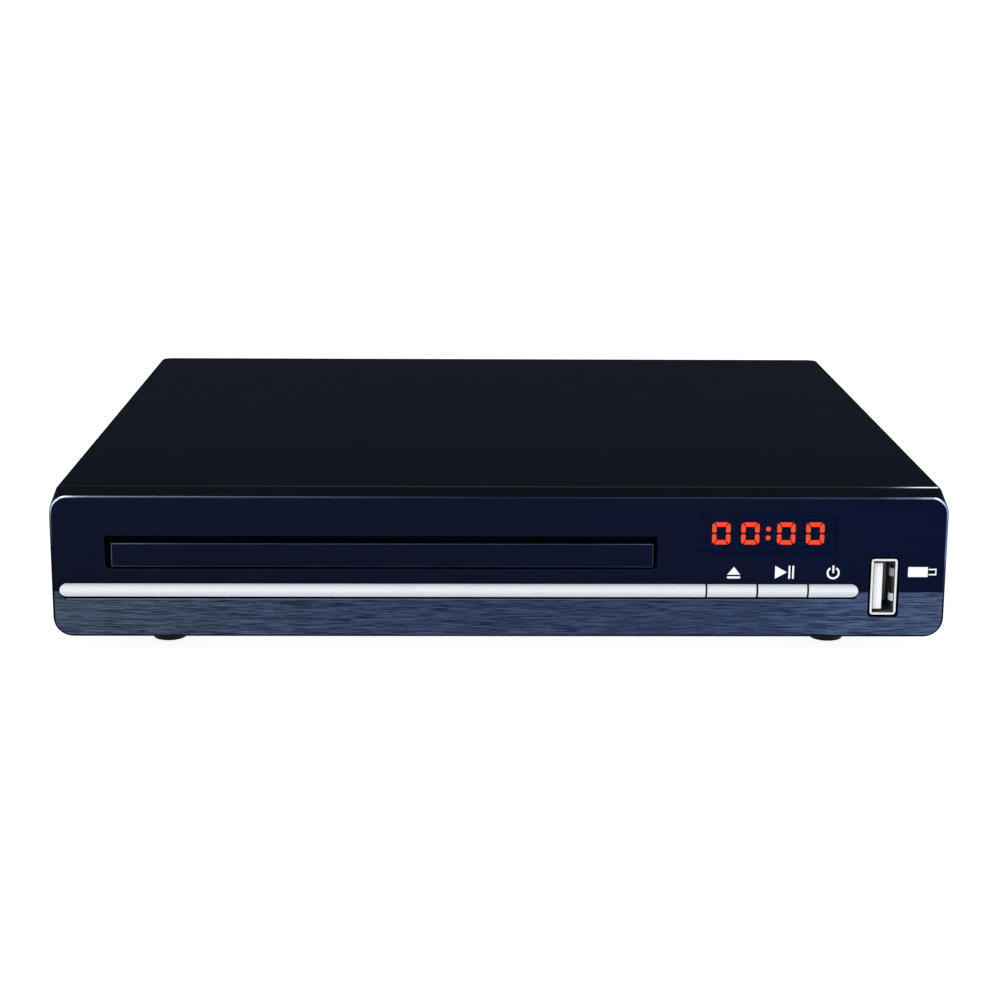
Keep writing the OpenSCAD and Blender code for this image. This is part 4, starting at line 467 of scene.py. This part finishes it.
# Smoked acrylic of the display's window: the plate's own finish, and just clear enough
# for the lit digits behind its two faces.
CLEAR_PART = 0.5
WINDOW_CLEAR = pattern("smoked_acrylic", "#0c162f", "#121f3f", 0.22, (60, 1, 1), (0.10, 0.16), specular=0.02,
                       bump=0.02, depth=0.004, alpha=1 - CLEAR_PART, ramps=[FACE_TINTS])


def lit_segments():
    """Light from the display's strokes: an even orange red, over resin with a faint grain."""
    made, tree, shader = start("lit_orange_red_led", "#ff4a1e", 0.5, specular=0.0)
    shader.inputs["Emission Color"].default_value = linear("#ff4a12")
    shader.inputs["Emission Strength"].default_value = 1.12 / CLEAR_PART ** 2
    place = add(tree, "TexCoord").outputs["Object"]
    grain = add(tree, "TexNoise", {"Scale": 1000 / 0.5, "Detail": 1.0}, {"Vector": place}).outputs["Fac"]
    colour = add(tree, "Mix", {6: linear("#8a2410"), 7: linear("#b03418")}, {"Factor": grain},
                 data_type="RGBA")
    tree.links.new(colour.outputs[2], shader.inputs["Base Color"])
    return made


def lens_glass():
    """Coated pickup lens: clear, with a violet cast."""
    made, tree, shader = start("coated_lens_glass", "#7b86b8", 0.05, specular=0.7)
    shader.inputs["Alpha"].default_value = 0.6
    place = add(tree, "TexCoord").outputs["Object"]
    tint = add(tree, "TexNoise", {"Scale": 1000 / 2.0}, {"Vector": place}).outputs["Fac"]
    colour = add(tree, "Mix", {6: linear("#6f78b4"), 7: linear("#8e7fc0")}, {"Factor": tint},
                 data_type="RGBA")
    tree.links.new(colour.outputs[2], shader.inputs["Base Color"])
    return made


def jack_colours():
    """Moulded plastic of the phono jacks, each in its own signal colour along the row."""
    made, tree, shader = start("coloured_jack_abs", "#d8d8d8", 0.35)
    place = add(tree, "TexCoord").outputs["Object"]
    across = add(tree, "SeparateXYZ", {}, {"Vector": place}).outputs["X"]
    share = add(tree, "MapRange", {"From Min": JACK_ROW[0] * MM, "From Max": JACK_ROW[1] * MM},
                {"Value": across}).outputs["Result"]
    ramp = add(tree, "ValToRGB", {}, {"Fac": share})
    stops = ramp.color_ramp
    stops.interpolation = "CONSTANT"
    stops.elements[0].color = linear("#d9b215")
    stops.elements[1].position = 0.25
    stops.elements[1].color = linear("#e6e6e2")
    for spot, code in ((0.5, "#b3201c"), (0.75, "#d96a14")):
        stops.elements.new(spot).color = linear(code)
    grain = add(tree, "TexNoise", {"Scale": 1000 / 0.4, "Detail": 2.0}, {"Vector": place}).outputs["Fac"]
    shade = add(tree, "MapRange", {"To Min": 0.86, "To Max": 1.06}, {"Value": grain}).outputs["Result"]
    colour = add(tree, "VectorMath", {}, {0: ramp.outputs["Color"], 1: shade}, operation="MULTIPLY")
    tree.links.new(colour.outputs["Vector"], shader.inputs["Base Color"])
    relief = add(tree, "Bump", {"Strength": 0.1, "Distance": 0.02 * MM}, {"Height": grain}).outputs["Normal"]
    tree.links.new(relief, shader.inputs["Normal"])
    return made


LIT = lit_segments()
LENS = lens_glass()
JACKS = jack_colours()


# ---- Pieces whose CAD form is right: softened edges and their finish ----

# node: (material, edge width in millimetres)
FORMS = {
    "top_cover": ((COVER, COVER_EDGE), 0.2), "chassis_pan": (SHEET, 0.12), "rear_panel": (REAR, 0.1),
    "trim_bar": (PEARL, 0.08), "eject_button": (PEARL, 0.12), "play_button": (PEARL, 0.12),
    "power_button": (PEARL, 0.12), "rubber_feet": (RUBBER, 0.4), "cover_screws": (SCREW, 0.1),
    "inner_screws": (ZINC, 0.15), "front_board": (BOARD, 0.1), "led_display": (LED_BODY, 0.1),
    "led_segments": (LIT, 0), "infrared_sensor": (SENSOR, 0.2), "switch_bodies": (EPOXY, 0.15),
    "eject_plunger": (EPOXY, 0.1), "play_plunger": (EPOXY, 0.1), "power_plunger": (EPOXY, 0.1),
    "port_shell": (NICKEL, 0.08), "port_tongue": (NYLON, 0.12), "port_contacts": (GOLD, 0.04),
    "main_board": (BOARD, 0.1), "main_board_chips": (EPOXY, 0.06), "board_sockets": (NYLON, 0.25),
    "board_capacitors": (SLEEVE, 0.3), "ribbon_cables": (FLAT_CABLE, 0.15), "jack_board": (BOARD, 0.1),
    "jack_block": (ABS_FRAME, 0.3), "jack_rings": (JACKS, 0.2), "jack_barrels": (NICKEL, 0.12),
    "video_shell": (NICKEL, 0.08), "video_tongue": (EPOXY, 0.1), "power_board": (BROWN, 0.1),
    "transformer": (TAPE, 0.3), "heat_sink": (ALLOY, 0.15), "power_inlet": (ABS_FRAME, 0.25),
    "inlet_pins": (NICKEL, 0.35), "mains_leads": (LEAD, 0.1), "loader_frame": (ABS_FRAME, 0.2),
    "disc_tray": (ABS_TRAY, 0.18), "tray_door": ((GLOSS, DOOR_EDGE), 0.2), "clamp_bridge": (ABS_FRAME, 0.2),
    "clamper": (POM_WHITE, 0.25), "clamp_magnet": (FERRITE, 0.2), "loading_motor": (STEEL_CAN, 0.4),
    "motor_pulley": (POM, 0.06), "drive_belt": (BELT, 0.15), "pulley_gear": (POM, 0.06),
    "tray_gear": (POM, 0.06), "cam_slider": (SLIDER, 0.1), "deck": (ABS_FRAME, 0.15),
    "deck_motors": (STEEL_CAN, 0.25), "turntable": (EPOXY, 0.15), "guide_rods": (ROD, 0.15),
    "pickup": (CAST, 0.2), "pickup_lens": (LENS, 0.1), "feed_screw": (ROD, 0.1),
}
for part, (finish, width) in FORMS.items():
    dressed(part + "_form", part, finish, width)


def refinish(node, finish, chosen):
    """Gives the chosen faces of a dressed node a further finish. chosen takes a face's middle in
    millimetres, with depth for Y, and its normal."""
    mesh = bpy.data.objects[node + "_form"].data
    mesh.materials.append(finish)
    for face in mesh.polygons:
        middle = face.center / MM
        middle.y -= FACE
        if chosen(middle, face.normal):
            face.material_index = len(mesh.materials) - 1


# The bar and the keys take the surround's black behind their front, where the lacquer stops, and on their
# upper and lower faces as painted shade in their slots.
for part in ("trim_bar", "eject_button", "play_button", "power_button"):
    refinish(part, SURROUND, lambda middle, turned: middle.y > LACQUER_END or abs(turned.z) > 0.9)
refinish("port_shell", SHELL_INSIDE_SHADE,
         lambda middle, turned: (middle.y > SHELL_START and abs(middle.x - PORT_X) < PORT_INSIDE[0]
                                 and abs(middle.z - PORT_Z) < PORT_INSIDE[1]))
refinish("port_tongue", PORT_BACK, lambda middle, turned: middle.y > BLOCK_START)
dressed("display_window_form", "display_window", WINDOW_CLEAR, 0)


# ---- Front moulding: gloss surround, rim with painted highlight and brushed lower band ----

MOULDING = [SURROUND, RIM, BAND, FILM_EDGE_HIGHLIGHT, COVER_EDGE, RIM_LEFT]
surround = dressed("front_moulding", "front_panel", MOULDING, 0)
groove_high = BAR_H + 2 * BAR_GROOVE
groove_low = BAR_MID - BAR_H / 2 - BAR_GROOVE - BAR_DROP
# The bar's and the keys' straight stretch, without the round ends.
straight = (BAR[0] + BAR_H / 2, KEYS[1] - BAR_H / 2)
bm = bmesh.new()
bm.from_mesh(surround.data)
split(bm, "Y", FACE + HEM[0])
split(bm, "Z", groove_low - FILM_LINE)
split(bm, "Z", RIM_LOW)
bm.to_mesh(surround.data)
bm.free()
carve(surround, [
    bar_form(bmesh.new(), BAR[0] - BAR_GROOVE, KEYS[0], -1, 1.0, groove_high, True, False, BAR_DROP),
    bar_form(bmesh.new(), KEYS[0] - KEY_SLACK, KEYS[1] + KEY_SLACK, -1, 1.0, groove_high, False, True,
             BAR_DROP),
])
bm = bmesh.new()
bm.from_mesh(surround.data)
for side in straight:
    split(bm, "X", side, [f for f in bm.faces if f.normal.y < -0.98 and f.calc_center_median().z < SEAM * MM])
bm.to_mesh(surround.data)
bm.free()
for face in surround.data.polygons:
    middle, turned = face.center / MM, face.normal
    depth = middle.y - FACE
    chosen = None
    if depth < FRONT_DEPTH and middle.z > SEAM:
        chosen = SURROUND
        if turned.y < -0.7 and middle.x > RIM_SPLIT:
            chosen = RIM
        elif turned.y < -0.7 and middle.z > RIM_LOW:
            chosen = RIM_LEFT
    elif depth < FRONT_DEPTH and turned.y < -0.98:
        under_bar = straight[0] < middle.x < straight[1] and groove_low - FILM_LINE < middle.z < groove_low
        # A thin strip of the flat band under the bar's straight stretch takes the painted highlight.
        chosen = FILM_EDGE_HIGHLIGHT if under_bar else BAND
    elif HEM[0] < depth < HEM[1] and middle.z > HEM_LOW and turned.z > 0.9:
        # The hem takes the grey line with its painted highlight.
        chosen = COVER_EDGE
    if chosen:
        face.material_index = MOULDING.index(chosen)
soften(surround, 0, sharp=52)
even_shading(surround)


# ---- Gloss plate over the upper face, with crisp moulded openings ----

def plate_blank():
    """The plate's outline, square below and rounded above, given its thickness."""
    half, top = HALF_W - EDGE_ROUND, PANEL_TOP - EDGE_ROUND
    return box(bmesh.new(), (-half, half), (0, PLATE_T), (SEAM, top), CORNER_TOP - EDGE_ROUND, 14,
               lambda e: along_y(e) and e.verts[0].co.z > (top - 0.1) * MM)


plate = new_piece("gloss_face_plate", plate_blank(), (GLOSS, MILLED_EDGE_AND_HIGHLIGHT), "case", "gloss", "face_plate")
through = (-1, PLATE_T + 1)
carve(plate, [
    box(bmesh.new(), RECESS[:2], through, RECESS[2:], RECESS_BEVEL, 3,
        lambda e: along_y(e) and e.verts[0].co.z < (RECESS[2] + 1) * MM),
    box(bmesh.new(), PORT_HOLE[:2], through, PORT_HOLE[2:], PORT_CORNER, 4, along_y),
    bar_form(bmesh.new(), BAR[0] - BAR_GROOVE, KEYS[0], *through, groove_high, True, False),
    bar_form(bmesh.new(), KEYS[0] - KEY_SLACK, KEYS[1] + KEY_SLACK, *through, BAR_H + 2 * KEY_SLACK,
             False, True),
])
fix(soften(plate, 0.1, 2, 40, 1))
# Only the openings keep the milled finish with its painted highlight: the plate's outer edge
# and its two round corners are gloss again.
for face in plate.data.polygons:
    middle = face.center / MM
    at_corner = abs(middle.x) > 107 and middle.z > 36
    if middle.z > 39.5 or abs(middle.x) > HALF_W - EDGE_ROUND - 0.2 or at_corner:
        face.material_index = 0
carve(plate, [box(bmesh.new(), WINDOW[:2], through, WINDOW[2:])])
soften(plate, 0)
even_shading(plate)


# ---- Printed symbols, all generic ----

signs = bmesh.new()
# Eject: a triangle over a bar.
printed(signs, [(57.35, 20.85), (60.65, 20.85), (59.0, 22.9)])
printed_block(signs, 57.35, 60.65, 19.85, 20.4)
# Play and pause: a triangle and two bars.
printed(signs, [(69.45, 19.8), (72.45, 21.5), (69.45, 23.2)])
printed_block(signs, 72.85, 73.3, 19.8, 23.2)
printed_block(signs, 73.8, 74.25, 19.8, 23.2)
# Standby: an upright stroke, and the open ring that ring_part adds below.
printed_block(signs, 83.97, 84.43, 21.3, 23.3)
# A plain memory stick beside the port: its body, and its plug as an open frame of three strokes.
printed_block(signs, 103.2, 108.2, 20.3, 22.9)
printed_block(signs, 108.45, 110.4, 20.75, 21.1)
printed_block(signs, 108.45, 110.4, 22.1, 22.45)
printed_block(signs, 110.1, 110.4, 21.1, 22.1)


def ring_part(bm, centre, radius, stroke, first, last, steps=26):
    """Part of a printed ring, between two angles in degrees."""
    inner, outer = radius - stroke / 2, radius + stroke / 2
    angles = [radians(first + (last - first) * i / steps) for i in range(steps + 1)]
    for a, b in zip(angles, angles[1:]):
        printed(bm, [(centre[0] + r * cos(t), centre[1] + r * sin(t))
                     for r, t in ((inner, a), (outer, a), (outer, b), (inner, b))])


ring_part(signs, (84.2, 21.35), 1.42, 0.5, 122, 418)
bmesh.ops.remove_doubles(signs, verts=signs.verts, dist=1e-7)
bmesh.ops.recalc_face_normals(signs, faces=signs.faces)
new_piece("printed_symbols", signs, INK, "case", "pearl")


# ---- Spring strips inside the front port ----

springs = bmesh.new()
for z in (-3.3, 3.3):
    strip = bmesh.ops.create_grid(springs, x_segments=1, y_segments=10, size=0.5)["verts"]
    for v in strip:
        across, back = v.co.x, v.co.y + 0.5
        v.co = Vector(((PORT_X + 2.7 - 1.0 * sin(pi * min(1.8 * back, 0.4 + back * 0.6))) * MM,
                       (FACE + 1.0 + 5.0 * back) * MM, (PORT_Z + 0.3 + z + across * 1.9) * MM))
bmesh.ops.solidify(springs, geom=list(springs.faces), thickness=0.15 * MM)
bmesh.ops.recalc_face_normals(springs, faces=springs.faces)
soften(new_piece("port_springs", springs, SPRING, "case", "plated"), 0)


# ---- Floor, light and camera ----

def white_for_the_eye(tree, output, seen, other):
    """Mixes a surface so that the camera, mirrors and glass see one shader, and other rays another."""
    path = add(tree, "LightPath")
    first = add(tree, "Math", {}, {0: path.outputs["Is Camera Ray"], 1: path.outputs["Is Glossy Ray"]},
                operation="MAXIMUM").outputs[0]
    rays = add(tree, "Math", {}, {0: first, 1: path.outputs["Is Transmission Ray"]},
               operation="MAXIMUM").outputs[0]
    mix = add(tree, "MixShader", {}, {0: rays, 1: other, 2: seen}).outputs[0]
    tree.links.new(mix, output.inputs["Surface"])


def pale_floor():
    """A plain pale floor that runs to white for the camera and keeps the player's shadow."""
    bm = bmesh.new()
    bmesh.ops.create_grid(bm, x_segments=1, y_segments=1, size=6.0)
    mesh = bpy.data.meshes.new("floor")
    bm.to_mesh(mesh)
    bm.free()
    floor = bpy.data.objects.new("floor", mesh)
    bpy.context.collection.objects.link(floor)
    made = bpy.data.materials.new("pale_floor")
    made.use_nodes = True
    tree = made.node_tree
    tree.nodes.clear()
    out = add(tree, "OutputMaterial")
    plain = add(tree, "BsdfDiffuse", {"Color": linear("#f2f2f2")}).outputs[0]
    shade = add(tree, "BsdfDiffuse", {"Color": (0.4, 0.4, 0.4, 1)}).outputs[0]
    glow = add(tree, "Emission", {"Color": (1, 1, 1, 1), "Strength": 0.88}).outputs[0]
    lit = add(tree, "AddShader", {}, {0: shade, 1: glow}).outputs[0]
    white_for_the_eye(tree, out, lit, plain)
    mesh.materials.append(made)


def white_world():
    """Soft light from all round, which the camera and mirrors see as plain white."""
    world = bpy.data.worlds.new("white_world")
    world.use_nodes = True
    tree = world.node_tree
    tree.nodes.clear()
    out = add(tree, "OutputWorld")
    soft = add(tree, "Background", {"Color": linear("#f6f8ff"), "Strength": 0.45}).outputs[0]
    white = add(tree, "Background", {"Color": (1, 1, 1, 1), "Strength": 1.0}).outputs[0]
    white_for_the_eye(tree, out, white, soft)
    bpy.context.scene.world = world


def lamp(name, place, target, size, power):
    """A square soft lamp that faces its target. Sizes are in metres."""
    data = bpy.data.lights.new(name, "AREA")
    data.shape = "RECTANGLE"
    data.size, data.size_y = size
    data.energy = power
    made = bpy.data.objects.new(name, data)
    made.location = place
    made.rotation_euler = (Vector(target) - Vector(place)).to_track_quat("-Z", "Y").to_euler()
    bpy.context.collection.objects.link(made)


pale_floor()
white_world()
lamp("upper_left", (-0.55, -0.5, 1.1), (0, 0, 0.02), (0.6, 0.5), 6)
lamp("upper_right", (0.75, -0.45, 1.05), (0, 0, 0.02), (0.5, 0.5), 5)
lamp("front_left", (-1.1, -1.0, 0.55), (0, 0, 0.02), (0.4, 0.7), 4.4)
lamp("front_right", (1.1, -1.0, 0.55), (0, 0, 0.02), (0.4, 0.7), 3.6)

# The view that was fitted to the photograph's edges and corners.
EYE = (-0.0098547, -0.621235, 0.161886)
PITCH, YAW, ROLL = 0.231172, -0.0186853, -0.0062474
turn = Matrix.Rotation(YAW, 3, "Z") @ Matrix.Rotation(-PITCH, 3, "X") @ Matrix.Rotation(ROLL, 3, "Y")
axes = Matrix((turn.col[0], turn.col[2], -turn.col[1])).transposed()
camera = bpy.data.objects.new("camera", bpy.data.cameras.new("camera"))
camera.data.lens = 76.484
camera.data.sensor_width = 36
camera.matrix_world = Matrix.Translation(EYE) @ axes.to_4x4()
bpy.context.collection.objects.link(camera)
bpy.context.scene.camera = camera
bpy.context.scene.view_settings.view_transform = "Standard"
